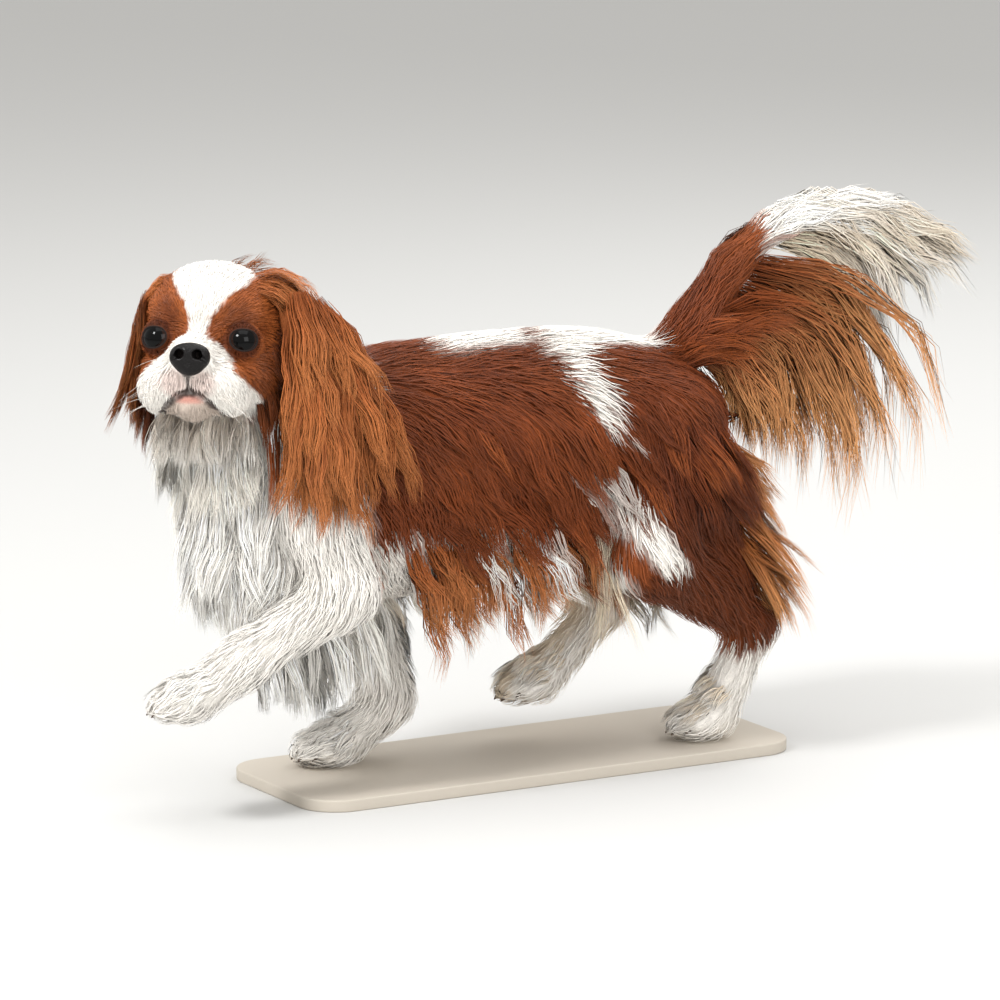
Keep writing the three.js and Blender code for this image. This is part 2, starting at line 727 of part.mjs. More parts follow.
const EAR_ROWS = [
  { roots: [[62, -226, 348], [72, -212, 350], [80, -198, 344]], lengths: [70, 80, 76], count: 4, seed: 19 },
  { roots: [[80, -220, 316], [88, -194, 320], [92, -166, 312]], lengths: [72, 80, 82], count: 4, seed: 20 },
  { roots: [[90, -214, 284], [94, -184, 276], [95, -152, 286]], lengths: [68, 82, 86], count: 5, seed: 21 },
].map((row) => ({
  leave: [[0.25, -0.3, -1], [0.25, 0.1, -1], [0.2, 0.6, -0.8]],
  end: [[0, -0.1, -1], [0, 0.1, -1], [0, 0.3, -1]],
  out: [0.9, -0.3, 0.1],
  sink: 3,
  width: 31,
  thick: 9,
  ...row,
}));
const FAR_EAR_ACROSS = [-46, -29, -10]; // places along the far ear, from its back edge to its front
const EAR_FAR_ROWS = [
  { rises: [14, 20, 12], lengths: [60, 64, 60], count: 3, seed: 22 },
  { rises: [-22, -24, -18], lengths: [62, 64, 54], count: 4, seed: 23 },
].map(({ rises, ...row }) => ({
  roots: FAR_EAR_ACROSS.map((forward, i) => onHead(-57, forward, rises[i]).toArray()),
  leave: [[0.1, 0.2, -1], [0.1, 0.1, -1], [0, 0, -1]],
  end: [[0.2, 0.2, -1], [0.15, 0.15, -1], [-0.3, -0.5, -0.7]],
  out: [-0.66, -0.75, 0],
  sink: 3,
  width: 28,
  thick: 8,
  ...row,
}));
const PLUME_ROOT = [-8, 8].map((x) => ({
  roots: [[x, 172, 290], [x, 192, 322], [x + 4, 218, 356]],
  leave: [[0, 0.9, -0.6], [0, 1, -0.4], [0, 1, -0.1]],
  end: [[0, -0.1, -1], [0, -0.1, -1], [0, 0, -1]],
  out: [x, 0, 0],
  lengths: [96, 230, 250],
  width: 30,
  thick: 8,
  count: 5,
  seed: 40 + x,
}));
const PLUME_TIP = [-7, 7].flatMap((x) => [
  {
    roots: [[x, 234, 368], [x + 4, 262, 376], [x + 6, 292, 370]],
    leave: [[0, 1, 0], [0, 1, -0.1], [0, 1, -0.1]],
    end: [[0, 0, -1], [0, 0.1, -1], [0, 0.9, -0.9]],
    lengths: [170, 130, 130],
    count: 4,
    seed: 60 + x,
  },
  {
    roots: [[x, 226, 380], [x + 4, 256, 388], [x + 6, 290, 380]],
    leave: [[0, 1, 0.2], [0, 1, 0.1], [0, 1, 0]],
    end: [[0, 0.6, -1], [0, 0.8, -0.9], [0, 0.9, -0.5]],
    lengths: [150, 150, 126],
    count: 3,
    seed: 80 + x,
  },
]).map((row) => ({ out: [row.roots[0][0], 0, 0], width: 30, thick: 7, ...row }));

const COAT = {
  torso: [...CHEST_COAT, ...[...SIDE_COAT, ...FRINGE, SKIRT].flatMap(bothWays), BELLY],
  neck: [...bothWays(RUFF), THROAT],
  tail_root: PLUME_ROOT,
  tail_tip: PLUME_TIP,
  hindleg_left: [...BREECHES, THIGH_COAT],
  hindleg_right: [...BREECHES_FAR, mirrored(THIGH_COAT)],
  foreleg_left: FEATHER,
  foreleg_right: [FEATHER_FAR],
  ear_left: EAR_ROWS,
  ear_right: EAR_FAR_ROWS,
};
const locksOf = (name) => (COAT[name] ?? []).flatMap(locksIn).map((lock) => (grow) => flap(lock, grow));

const whole = [
  { name: "stand_board", paint: BOARD_PAINT, shapes: [boardSolid], cuts: [] },
  ...bothSides((side) => ({
    name: side < 0 ? "eye_right" : "eye_left",
    paint: EYE,
    shapes: [(grow) => new THREE.SphereGeometry(EYE_RADIUS + grow, 11, 8).translate(...eyeCentre(side))],
    cuts: [],
  })),
  {
    name: "nose",
    paint: BLACK,
    shapes: [(grow) => netOf(noseForm, { ...box([onHead(0, 33, -17)], 24), cell: [6, 6, 6.5] }, grow)],
    cuts: bothSides(nostril),
  },
];
for (const [side, { line, out, width }] of Object.entries(EARS)) {
  const path = new THREE.CatmullRomCurve3(line);
  whole.push({
    name: `ear_${side}`,
    paint: RUST,
    shapes: [
      (grow) => flap({ path, out, width, thick: 11, cup: 6, rings: 7, sides: 8 }, grow),
      ...locksOf(`ear_${side}`),
    ],
    cuts: [],
  });
}

function solidFrom(geometry) {
  const bare = geometry.clone();
  bare.deleteAttribute("normal");
  bare.deleteAttribute("uv");
  const merged = mergeVertices(bare, 1e-4);
  const triVerts = new Uint32Array(merged.index.array);
  const make = () =>
    new wasm.Manifold(
      new wasm.Mesh({ numProp: 3, vertProperties: merged.attributes.position.array, triVerts }),
    );
  if (make().volume() > 0) return make();
  triVerts.reverse();
  return make();
}

const joined = (shapes, ...grows) =>
  shapes.flatMap((shape) => grows.map((grow) => solidFrom(shape(grow)))).reduce((a, b) => a.add(b));
const shared = (shapes, grow) =>
  shapes.map((shape) => solidFrom(shape(grow))).reduce((a, b) => a.intersect(b));
const cleared = (solid, others) => others.reduce((rest, other) => rest.subtract(other), solid);
const largest = (solid) => solid.decompose().reduce((a, b) => (a.volume() > b.volume() ? a : b));

// The pieces that keep their whole shape come first, and then the parts of the body, each cut
// clear of those before it. Coat comes last, and is cut clear of every part but its own.
const dog = new THREE.Group();
const APART = 0.03; // how far two corners at one place are drawn apart

// Where a surface meets itself along an edge it has two corners at each end of that edge. Each is
// drawn a little towards its own neighbours, so that the surface is closed and apart from itself.
function drawnApart(corners, faces) {
  const places = new Map();
  corners.forEach((corner, i) => {
    const key = corner.toArray().map((value) => value.toFixed(3)).join();
    places.set(key, [...(places.get(key) ?? []), i]);
  });
  const moves = [...places.values()].filter((twins) => twins.length > 1).flat().map((twin) => {
    const ring = faces.filter((face) => face.includes(twin)).flat();
    const middle = ring.reduce((sum, i) => sum.add(corners[i]), at(0, 0, 0)).divideScalar(ring.length);
    return [twin, middle.sub(corners[twin]).setLength(APART)];
  });
  for (const [twin, move] of moves) corners[twin].add(move);
  return corners;
}

function addNode(name, paint, solid) {
  const { vertProperties, triVerts } = largest(solid).getMesh();
  const corners = Array.from({ length: vertProperties.length / 3 }, (_, i) =>
    at(0, 0, 0).fromArray(vertProperties, 3 * i),
  );
  const faces = Array.from({ length: triVerts.length / 3 }, (_, i) => [...triVerts.slice(3 * i, 3 * i + 3)]);
  const geometry = new THREE.BufferGeometry()
    .setFromPoints(drawnApart(corners, faces))
    .setIndex(faces.flat());
  const mesh = new THREE.Mesh(geometry, new THREE.MeshStandardMaterial(paint));
  mesh.name = name;
  dog.add(mesh);
}

function fleshFrom({ axes = new THREE.Matrix4(), ...grid }, grow) {
  const form = (p) => bodyForm(p.clone().applyMatrix4(axes));
  return solidFrom(netOf(form, grid, grow).applyMatrix4(axes));
}
const COAT_GAP = 3 * GAP; // between the coat of one part and the flesh of the next
const regions = [0, GAP, COAT_GAP].map((grow) => parts.map(({ region }) => shared(region, grow)));
const fleshOf = (grow, own, before) =>
  parts.map((part, i) => {
    const solid = cleared(fleshFrom(part, 1.5 * grow).intersect(own[i]), before.slice(0, i));
    return part.extras ? solid.add(joined(part.extras, grow)) : solid;
  });
const flesh = fleshOf(0, regions[0], regions[1]);
const fleshGrown = fleshOf(COAT_GAP, regions[2], regions[0]);
const wholeGrown = [];
for (const { name, paint, shapes, cuts } of whole) {
  const solid = cleared(joined(shapes, 0), wholeGrown);
  wholeGrown.push(joined(shapes, 0, GAP));
  addNode(name, paint, cleared(solid, cuts.map((cut) => solidFrom(cut(0)))));
}
const coatGrown = [];
parts.forEach(({ name, paint, cuts = [] }, i) => {
  let solid = cleared(flesh[i], wholeGrown);
  solid = cleared(solid, cuts.map((cut) => solidFrom(cut(0))));
  const shapes = locksOf(name);
  if (shapes.length > 0) {
    const otherFlesh = [flesh, fleshGrown].flatMap((solids) => solids.filter((_, j) => j !== i));
    solid = solid.add(cleared(joined(shapes, 0), [...wholeGrown, ...otherFlesh, ...coatGrown]));
    coatGrown.push(joined(shapes, 0, GAP));
  }
  addNode(name, paint, solid);
});

// The origin is the middle of the whole's box, at its foot.
const bounds = new THREE.Box3().setFromObject(dog);
const middle = bounds.getCenter(at(0, 0, 0));
dog.position.set(-middle.x, -middle.y, -bounds.min.z);

export default dog;
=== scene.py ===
"""The looks of a cavalier king charles spaniel at a trot, on the plain board that keeps it upright.

The dog's own measures are millimetres from the middle of the board's top: it faces -Y with its
head turned to its left, its left side is +X, and Z is up. Place turns them into the part's metres.
"""
import logging
import math
from dataclasses import dataclass, field, replace
from enum import Enum
from typing import Callable, Sequence

import bpy
import numpy as np
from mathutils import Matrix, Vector
from mathutils.kdtree import KDTree


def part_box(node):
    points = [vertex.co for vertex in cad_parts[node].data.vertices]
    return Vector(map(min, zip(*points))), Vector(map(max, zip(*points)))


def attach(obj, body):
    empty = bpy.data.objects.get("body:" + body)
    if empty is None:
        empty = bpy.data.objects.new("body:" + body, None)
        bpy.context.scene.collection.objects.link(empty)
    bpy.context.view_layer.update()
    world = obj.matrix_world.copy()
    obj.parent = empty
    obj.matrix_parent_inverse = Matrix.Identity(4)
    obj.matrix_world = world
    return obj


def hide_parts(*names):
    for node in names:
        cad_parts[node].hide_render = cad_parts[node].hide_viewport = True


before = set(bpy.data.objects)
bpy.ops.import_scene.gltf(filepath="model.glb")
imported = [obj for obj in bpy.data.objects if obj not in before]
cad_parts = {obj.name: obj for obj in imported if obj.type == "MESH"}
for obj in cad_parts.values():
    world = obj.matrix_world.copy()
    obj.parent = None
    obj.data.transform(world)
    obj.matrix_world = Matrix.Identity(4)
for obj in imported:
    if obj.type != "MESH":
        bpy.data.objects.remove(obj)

LOG = logging.getLogger("spaniel")
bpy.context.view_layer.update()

Points = np.ndarray
Form = Callable[[Points], np.ndarray]

BOARD_MIDDLE_Y = 12.0
EYE_RADIUS = 12.5
EYE_SPREAD = 29.8
HEAD_TURN = math.radians(49)
HEAD_LIFT = math.radians(17)
EYE_LINE = np.array([50.0, -274.0, 342.0])
NOSE_SIDE = 2.2
UP = np.array([0.0, 0.0, 1.0])
HEAD_FORWARD = np.array(
    [
        math.sin(HEAD_TURN) * math.cos(HEAD_LIFT), -math.cos(HEAD_TURN) * math.cos(HEAD_LIFT),
        math.sin(HEAD_LIFT),
    ]
)
HEAD_LEFT = np.array([math.cos(HEAD_TURN), math.sin(HEAD_TURN), 0.0])
HEAD_UP = -np.cross(HEAD_LEFT, HEAD_FORWARD)
HEAD_AXES = np.array([HEAD_LEFT, HEAD_FORWARD, HEAD_UP])
SIDES = (-1, 1)
NAPE = np.array([10.0, -212.0, 318.0])
NAPE_WAY = np.array([0.13, -0.78, 0.6])


class Slot(Enum):
    """The record's material slots."""

    CHESTNUT = "chestnut_coat"
    RUST = "rust_coat"
    WHITE = "white_coat"
    NOSE = "nose_leather"
    EYE = "eye"
    CLAW = "claw"
    STAND = "stand_paint"


def on_head(left: float, forward: float, up: float) -> Points:
    """A place given along the head's axes from midway between the eyes."""
    return EYE_LINE + np.array([left, forward, up], float) @ HEAD_AXES


def eye_axis(side: int) -> Points:
    """The way that an eye looks."""
    return unit(np.array([side * 0.30, 0.95, 0.03])) @ HEAD_AXES


def along_head(points: Points) -> Points:
    """Points as left, forward and up along the head's axes."""
    return (points - EYE_LINE) @ HEAD_AXES.T


def unit(vectors: Points) -> Points:
    """Vectors scaled to a length of one."""
    return vectors / np.maximum(np.linalg.norm(vectors, axis=-1, keepdims=True), 1e-9)


def ease(low: float, high: float, value: np.ndarray) -> np.ndarray:
    """A smooth step from 0 at low to 1 at high: t squared times (3 - 2t)."""
    t = np.clip((value - low) / (high - low), 0, 1)
    return t * t * (3 - 2 * t)


@dataclass(frozen=True)
class Place:
    """Where the design frame's origin lies in the part's frame, in millimetres."""

    offset: Points

    @staticmethod
    def of_board() -> "Place":
        """The place that puts the design frame on the board as it was packed."""
        low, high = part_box("stand_board")
        middle = (np.array(low) + np.array(high)) / 2 * 1000
        return Place(np.array([middle[0], middle[1] - BOARD_MIDDLE_Y, high[2] * 1000]))

    def metres(self, points: Points) -> Points:
        """Design millimetres as metres in the part's frame."""
        return (points + self.offset) / 1000


PLACE = Place.of_board()


# Forms: each is a function of points that says how far they lie outside a surface

def ball(centre: Points, radius: float) -> Form:
    """The distance from a centre, less a radius."""
    return lambda p: np.linalg.norm(p - centre, axis=1) - radius


def egg(centre: Points, radii: Sequence[float], axes: Points = np.eye(3)) -> Form:
    """An ellipsoid: n(n - 1) over the length of its slope, n being the distance in radii."""
    size = np.array(radii, float)

    def form(p: Points) -> np.ndarray:
        """The distance outside the ellipsoid."""
        q = (p - centre) @ axes.T / size
        near = np.sqrt(np.einsum("ij,ij->i", q, q))
        q /= size
        return near * (near - 1) / np.maximum(np.sqrt(np.einsum("ij,ij->i", q, q)), 1e-9)

    return form


def limb(start: Points, end: Points, start_radius: float, end_radius: float) -> Form:
    """A tapered limb: the distance from a stretch, less a radius that changes along it."""
    start = np.asarray(start, float)
    axis = np.asarray(end, float) - start

    def form(p: Points) -> np.ndarray:
        """The distance outside the limb."""
        off = p - start
        share = np.clip(off @ axis / (axis @ axis), 0, 1)
        off -= share[:, None] * axis
        reach = np.sqrt(np.einsum("ij,ij->i", off, off))
        return reach - start_radius - share * (end_radius - start_radius)

    return form


def chain(stops: Sequence[Points], radii: Sequence[float]) -> list[Form]:
    """A limb between each stop and the next."""
    return [limb(stops[i], stops[i + 1], radii[i], radii[i + 1]) for i in range(len(stops) - 1)]


def fuse(blend: float, *forms: Form) -> Form:
    """The least of several distances, lowered by up to a quarter of blend where two are alike."""

    def form(p: Points) -> np.ndarray:
        """The distance outside the fused forms."""
        least = forms[0](p)
        for other in forms[1:]:
            value = other(p)
            mix = np.maximum(blend - np.abs(least - value), 0) / blend
            least = np.minimum(least, value) - mix * mix * blend / 4
        return least

    return form


def scoop(blend: float, body: Form, *tools: Form) -> Form:
    """A form with others scooped out of it, with a soft edge."""
    tool = fuse(blend, *tools)
    inverse = fuse(blend, lambda p: -body(p), tool)
    return lambda p: -inverse(p)


def smooth_line(stops: Points, share: np.ndarray) -> Points:
    """A smooth cubic through evenly spaced stops: each slope is half the step between neighbours."""
    padded = np.concatenate([[2 * stops[0] - stops[1]], stops, [2 * stops[-1] - stops[-2]]])
    place = share * (len(stops) - 1)
    i = np.clip(place.astype(int), 0, len(stops) - 2)
    t = (place - i)[:, None]
    a, b, c, d = padded[i], padded[i + 1], padded[i + 2], padded[i + 3]
    return b + 0.5 * t * (c - a + t * (2 * a - 5 * b + 4 * c - d + t * (3 * (b - c) + d - a)))


SLOPE_STEP = 0.5
GROOVES_REACH = 62.0


def steepness(form: Form, p: Points, step: float = SLOPE_STEP) -> Points:
    """The slope of a form along each axis, from values a step before and after each point."""
    axes = np.eye(3) * step
    return np.stack([(form(p + a) - form(p - a)) / (2 * step) for a in axes], axis=1)


def outwards(form: Form, p: Points) -> Points:
    """The direction in which a form grows fastest."""
    return unit(steepness(form, p))


def fall_of(form: Form, p: Points, height: np.ndarray | float, least: float = 0.1) -> tuple:
    """The slope of a form at points, and how many slopes they lie over a height above it."""
    slope = steepness(form, p)
    fall = (form(p) - height) / np.maximum(np.einsum("ij,ij->i", slope, slope), least)
    return slope, fall[:, None]


def settle(form: Form, p: Points, height: np.ndarray | float = 0.0, steps: int = 3) -> Points:
    """Points moved along a form's slope until they lie at a height over its surface."""
    for _ in range(steps):
        slope, fall = fall_of(form, p, height)
        p = p - slope * fall
    return p


@dataclass(frozen=True)
class Leg:
    """A leg's joints, from the body to the toes."""

    top: Points
    bend: Points
    split: Points
    palm: Points
    toe: Points

    def toes(self) -> list[tuple[Points, Points, Points]]:
        """The knuckle, tip and direction of each of the four toes."""
        forward = unit(self.toe - self.palm)
        sideways = unit(np.cross(forward, UP))
        toes = []
        for off in (-1.5, -0.5, 0.5, 1.5):
            knuckle = self.palm + 0.45 * (self.toe - self.palm) + sideways * off * 8.5
            tip = self.toe + sideways * off * 8.9 - forward * (7 if abs(off) > 1 else 0)
            toes.append((knuckle, tip, forward))
        return toes


def leg_of(*stops: Sequence[float]) -> Leg:
    """A leg from five places."""
    return Leg(*(np.array(stop, float) for stop in stops))


@dataclass(frozen=True)
class Zone:
    """A stretch of the body with its own coat.

    lie says which way the hair grows, at one point or at many; length and width are a tuft's,
    and rise is how far the coat stands over the skin.
    """

    name: str
    form: Form
    lie: Callable[[Points], Points]
    length: float
    width: float
    rise: float


@dataclass
class Anatomy:
    """The dog's forms: the same as the solids', as functions of many points at once."""

    fore_left: Leg = leg_of(
        (48, -186, 212), (64, -168, 152), (56, -246, 106), (54, -280, 86), (52, -306, 80),
    )
    fore_right: Leg = leg_of(
        (-48, -168, 212), (-54, -100, 148), (-38, -74, 42), (-33, -112, 17), (-30, -146, 12),
    )
    hind_left: Leg = leg_of((40, 116, 236), (62, 90, 154), (42, 194, 86), (34, 166, 18), (32, 138, 12))
    hind_right: Leg = leg_of(
        (-40, 116, 236), (-60, 62, 156), (-42, 116, 96), (-36, 58, 46), (-34, 28, 38),
    )
    trunk_stations: Sequence[Sequence[float]] = (
        (-172, 54, 288, 140), (-150, 64, 303, 133), (-115, 73, 315, 129), (-60, 79, 317, 132),
        (0, 77, 318, 143), (50, 70, 317, 158), (100, 66, 309, 171), (138, 57, 294, 184),
        (160, 46, 279, 196),
    )
    trunk_end: float = 26.0
    dock: Sequence[Sequence[float]] = (
        (0, 138, 276), (0, 168, 310), (2, 196, 350), (4, 232, 378), (6, 270, 385), (8, 298, 376),
    )
    dock_radii: Sequence[float] = (25, 20, 16, 13, 11, 8)
    mouth: Sequence[Sequence[float]] = (
        (-27, 6, -56), (-19, 18, -51), (-10, 27, -44.5), (0, 31, -40), (10, 27, -44.5), (19, 18, -51),
        (27, 6, -56),
    )
    body_depth: float = 5.0
    short_depth: float = 2.0
    body: Form = field(init=False)
    zones: list[Zone] = field(init=False)

    def __post_init__(self) -> None:
        """Works out the whole body's form, the skin's and the zones of the coat."""
        self.head_bare = self.head()
        self.neck_form = fuse(
            16, limb((0, -150, 256), (6, -200, 292), 60, 54),
            limb((6, -200, 292), (14, -236, 322), 54, 46),
        )
        self.chest_form = fuse(
            14, egg(np.array([0, -198, 202]), (56, 52, 62)), egg(np.array([2, -218, 254]), (46, 42, 50)),
        )
        self.dock_parts = chain([np.array(stop, float) for stop in self.dock], self.dock_radii)
        forms = [self.trunk, self.chest_form, self.neck_form, self.head_bare, fuse(10, *self.dock_parts)]
        for name, leg in self.legs().items():
            if name.startswith("hind"):
                forms += [self.hind_form(leg), self.paw_form(leg, 16)]
            else:
                forms += [self.fore_form(leg), self.paw_form(leg, 17)]
        self.body = fuse(14, *forms)
        self.grooves = fuse(1.6, *self.face_grooves())
        self.zones = self.coat_zones()

    def legs(self) -> dict[str, Leg]:
        """The legs by their names."""
        names = ("fore_left", "fore_right", "hind_left", "hind_right")
        return {name: getattr(self, name) for name in names}

    def skin(self, p: Points) -> np.ndarray:
        """The skin: the body less the coat's depth, with the grooves of the face scooped out."""
        value = self.body(p) + self.depth(p)
        near = np.linalg.norm(p - on_head(0, 10, -35), axis=1) < GROOVES_REACH
        if near.any():
            bare = value[near]
            value[near] = -fuse(1.6, lambda q: -bare, self.grooves)(p[near])
        return value

    def depth(self, p: Points) -> np.ndarray:
        """How far the skin lies inside the coat: less on the head, and on the legs below."""
        low = ease(80, 170, p[:, 2])
        ahead = ease(-16, 16, (p - NAPE) @ NAPE_WAY)
        return self.short_depth + (self.body_depth - self.short_depth) * low * (1 - ahead)

    def head(self) -> Form:
        """The head: skull, brows, cheeks, muzzle, flews, jaw and throat, less the eyes' sockets."""

        def lump(left: float, forward: float, up: float, radii: Sequence[float]) -> Form:
            """An egg in the head, lined up with it."""
            return egg(on_head(left, forward, up), radii, HEAD_AXES)

        lumps = [lump(0, -45, 17, (51, 50, 45)), lump(0, -42, -30, (42, 34, 34))]
        for side in SIDES:
            lumps += [
                lump(side * 19, -13, 19, (21, 16, 15)), lump(side * 29, -34, -22, (24, 30, 27)),
                lump(side * 20, 7, -33, (20, 23, 18)), lump(side * 26, 0, -41, (12, 19, 14)),
            ]
        lumps += [
            limb(on_head(0, -20, -14), on_head(0, 17, -17), 24, 19),
            limb(on_head(0, -30, -42), on_head(0, 8, -47), 19, 13),
        ]
        sockets = [ball(on_head(side * (EYE_SPREAD + 1), 6, 0), 9) for side in SIDES]
        return fuse(5, scoop(5, fuse(11, *lumps), *sockets), *(self.eye_ring(side) for side in SIDES))

    @staticmethod
    def eye_ring(side: int) -> Form:
        """The fullness round an eye: the distance to a ring across its gaze, less its thickness."""
        axis = eye_axis(side)
        middle = on_head(side * EYE_SPREAD, -8, 0) + axis * 5.0

        def form(p: Points) -> np.ndarray:
            """The distance outside the ring."""
            off = p - middle
            along = off @ axis
            flat = np.sqrt(np.maximum(np.einsum("ij,ij->i", off, off) - along * along, 0))
            return np.hypot(flat - 12.2, along) - 3.2

        return form

    def face_grooves(self) -> list[Form]:
        """The line of the mouth and the cleft under the nose."""
        line = self.mouth_line()
        share = np.abs(np.linspace(-1, 1, len(line)))
        radii = 2.1 - 0.9 * share**3
        foot = settle(self.head_bare, np.array([on_head(1.5, 36, -29), on_head(0.5, 33, -40)]), -1.6)
        return chain(line, radii) + [limb(foot[0], foot[1], 1.2, 1.2)]

    def mouth_line(self) -> Points:
        """The line of the mouth, a smooth curve laid on the head's surface."""
        stops = np.array([on_head(*stop) for stop in self.mouth])
        line = smooth_line(stops, np.linspace(0, 1, 21))
        for _ in range(40):
            short = self.head_bare(line) + self.short_depth
            line = line - HEAD_FORWARD * np.clip(short, -1.5, 1.5)[:, None]
        return line

    def trunk_size(self, column: int, y: np.ndarray) -> np.ndarray:
        """A column of the trunk's table on a smooth cubic through its stations."""
        table = np.array(self.trunk_stations, float)
        places, values = table[:, 0], table[:, column]
        slopes = np.empty(len(values))
        slopes[1:-1] = (values[2:] - values[:-2]) / (places[2:] - places[:-2])
        slopes[0] = (values[1] - values[0]) / (places[1] - places[0])
        slopes[-1] = (values[-1] - values[-2]) / (places[-1] - places[-2])
        y = np.clip(y, places[0], places[-1])
        i = np.clip(np.searchsorted(places, y, side="right") - 1, 0, len(values) - 2)
        step = places[i + 1] - places[i]
        t = (y - places[i]) / step
        rise = t * t * (3 - 2 * t)
        leave = t * (1 - t) * (1 - t) * step * slopes[i]
        arrive = t * t * (t - 1) * step * slopes[i + 1]
        return values[i] + (values[i + 1] - values[i]) * rise + leave + arrive

    def trunk(self, p: Points) -> np.ndarray:
        """The trunk: an ellipse across each station, rounded off past the first and the last."""
        first, last = self.trunk_stations[0][0], self.trunk_stations[-1][0]
        past = np.maximum(np.maximum(first - p[:, 1], p[:, 1] - last), 0) / self.trunk_end
        shrink = np.sqrt(np.maximum(1 - past * past, 0.0004))
        top = self.trunk_size(2, p[:, 1])
        bottom = self.trunk_size(3, p[:, 1])
        wide = self.trunk_size(1, p[:, 1]) * shrink
        high = (top - bottom) / 2 * shrink
        off = np.hypot(p[:, 0] / wide, (p[:, 2] - (top + bottom) / 2) / high)
        return (off - 1) * np.minimum(wide, high)

    @staticmethod
    def fore_form(leg: Leg) -> Form:
        """A foreleg from its shoulder to its wrist."""
        return fuse(
            14, limb(leg.top, leg.bend, 34, 28), limb(leg.bend, leg.split, 25, 17), ball(leg.top, 38),
        )

    @staticmethod
    def hind_form(leg: Leg) -> Form:
        """A hind leg from its hip to its hock."""
        return fuse(
            18, limb(leg.top, leg.bend, 46, 32), limb(leg.bend, leg.split, 31, 17),
            Anatomy.back_of_leg(leg),
        )

    @staticmethod
    def back_of_leg(leg: Leg) -> Form:
        """The back of a thigh, straight from the hip to above the hock."""
        return limb(leg.top, leg.split + 0.3 * (leg.top - leg.split), 44, 22)

    @staticmethod
    def paw_form(leg: Leg, start_radius: float) -> Form:
        """A pastern and its paw, with four toes."""
        toes = [limb(knuckle, tip, 10.5, 8.5) for knuckle, tip, _ in leg.toes()]
        middle = leg.palm + 0.25 * (leg.toe - leg.palm)
        return fuse(7, limb(leg.split, leg.palm, start_radius, 17), egg(middle, (20, 20, 17)), *toes)

    def coat_zones(self) -> list[Zone]:
        """The zones of the coat, each with the way its hair lies."""

        def along(start: Points, end: Points, fall: float = 0.0) -> Callable[[Points], Points]:
            """Hair along a stretch, with some fall."""
            way = unit(unit(np.asarray(end, float) - np.asarray(start, float)) - fall * UP)
            return lambda p: np.broadcast_to(way, p.shape)

        zones = [
            Zone("head", self.head_bare, head_lie, 9.5, 0.95, 1.9),
            Zone("neck", self.neck_form, neck_lie, 34, 1.4, 5),
            Zone("chest", self.chest_form, along((0, 0, 1), (0, -0.02, 0)), 36, 1.4, 5),
            Zone("trunk", self.trunk, trunk_lie, 44, 1.3, 4.4),
        ]
        for i, form in enumerate(self.dock_parts):
            way = along(self.dock[i], self.dock[i + 1])
            zones.append(Zone("tail", form, way, 30, 1.3, 4))
        for name, leg in self.legs().items():
            hind = name.startswith("hind")
            top_fall = 0.5 if hind else 0.9
            upper = limb(leg.top, leg.bend, 46 if hind else 36, 32 if hind else 28)
            zones.append(Zone(name, upper, along((0, 0, 0), (0, 0.5, -0.8), top_fall), 32, 1.3, 4))
            for start, end, thick, thin, fall, *coat in (
                (leg.bend, leg.split, 28, 17, 0.4, 25, 1.15, 5.5),
                (leg.split, leg.palm, 17, 17, 0.2, 18, 1.05, 4.6),
                (leg.palm, leg.toe, 18, 16, 0.1, 17, 1.05, 5),
            ):
                zones.append(Zone(name, limb(start, end, thick, thin), along(start, end, fall), *coat))
            if hind:
                back_way = along((0, 0, 0), (0, 0.55, -0.8), 0.2)
                zones.append(Zone(name, self.back_of_leg(leg), back_way, 32, 1.3, 4))
        return zones

    def zone_weights(self, p: Points) -> np.ndarray:
        """How much each zone has to say at each point: e to the power of minus its distance."""
        distances = np.stack([zone.form(p) for zone in self.zones], axis=1)
        weights = np.exp(-(distances - distances.min(axis=1, keepdims=True)) / 5)
        return weights / weights.sum(axis=1, keepdims=True)

    def lie(self, p: Points, weights: np.ndarray | None = None) -> Points:
        """The way that the hair lies at each point, mixed from the zones."""
        if weights is None:
            weights = self.zone_weights(p)
        ways = np.stack([zone.lie(p) for zone in self.zones], axis=1)
        return unit(np.einsum("ij,ijk->ik", weights, ways))


def head_lie(p: Points) -> Points:
    """Hair on the head runs away from the nose, and falls on the cheeks and the flews."""
    q = along_head(p)
    way = unit(q - np.array([0, 30, -10]))
    way[:, 2] -= 0.7 * ease(0, -30, q[:, 2])
    way[:, 1] -= 0.5
    return unit(way) @ HEAD_AXES


def neck_lie(p: Points) -> Points:
    """Hair on the neck runs down and back, and in front of it straight down."""
    back = 0.15 + 0.75 * ease(-240, -170, p[:, 1])
    return unit(np.stack([0 * back, back, -0.9 + 0 * back], axis=1))


def trunk_lie(p: Points) -> Points:
    """Hair on the trunk runs back along the spine, and turns down towards the belly."""
    fall = 0.08 + 0.95 * ease(316, 262, p[:, 2]) + 1.4 * ease(262, 170, p[:, 2])
    fall = fall + 0.5 * ease(-60, -160, p[:, 1]) * ease(316, 280, p[:, 2])
    return unit(np.stack([0 * fall, 1 + 0 * fall, -fall], axis=1))


# Markings

Colour = tuple[float, float, float]
CHESTNUT: Colour = (0.136, 0.028, 0.0055)
DARK: Colour = (0.062, 0.013, 0.004)
FACE: Colour = (0.380, 0.106, 0.027)
RUST: Colour = (0.320, 0.082, 0.020)
GOLD: Colour = (0.560, 0.220, 0.075)
WHITE: Colour = (0.900, 0.860, 0.800)
CREAM: Colour = (0.800, 0.660, 0.490)
BLACK: Colour = (0.012, 0.008, 0.007)
PINK: Colour = (0.520, 0.230, 0.180)
LIPS: Colour = (0.030, 0.014, 0.011)
# Painted shade: the grey-brown laid under the jaw, below the flews.
JAW_SHADE: Colour = (0.420, 0.310, 0.240)


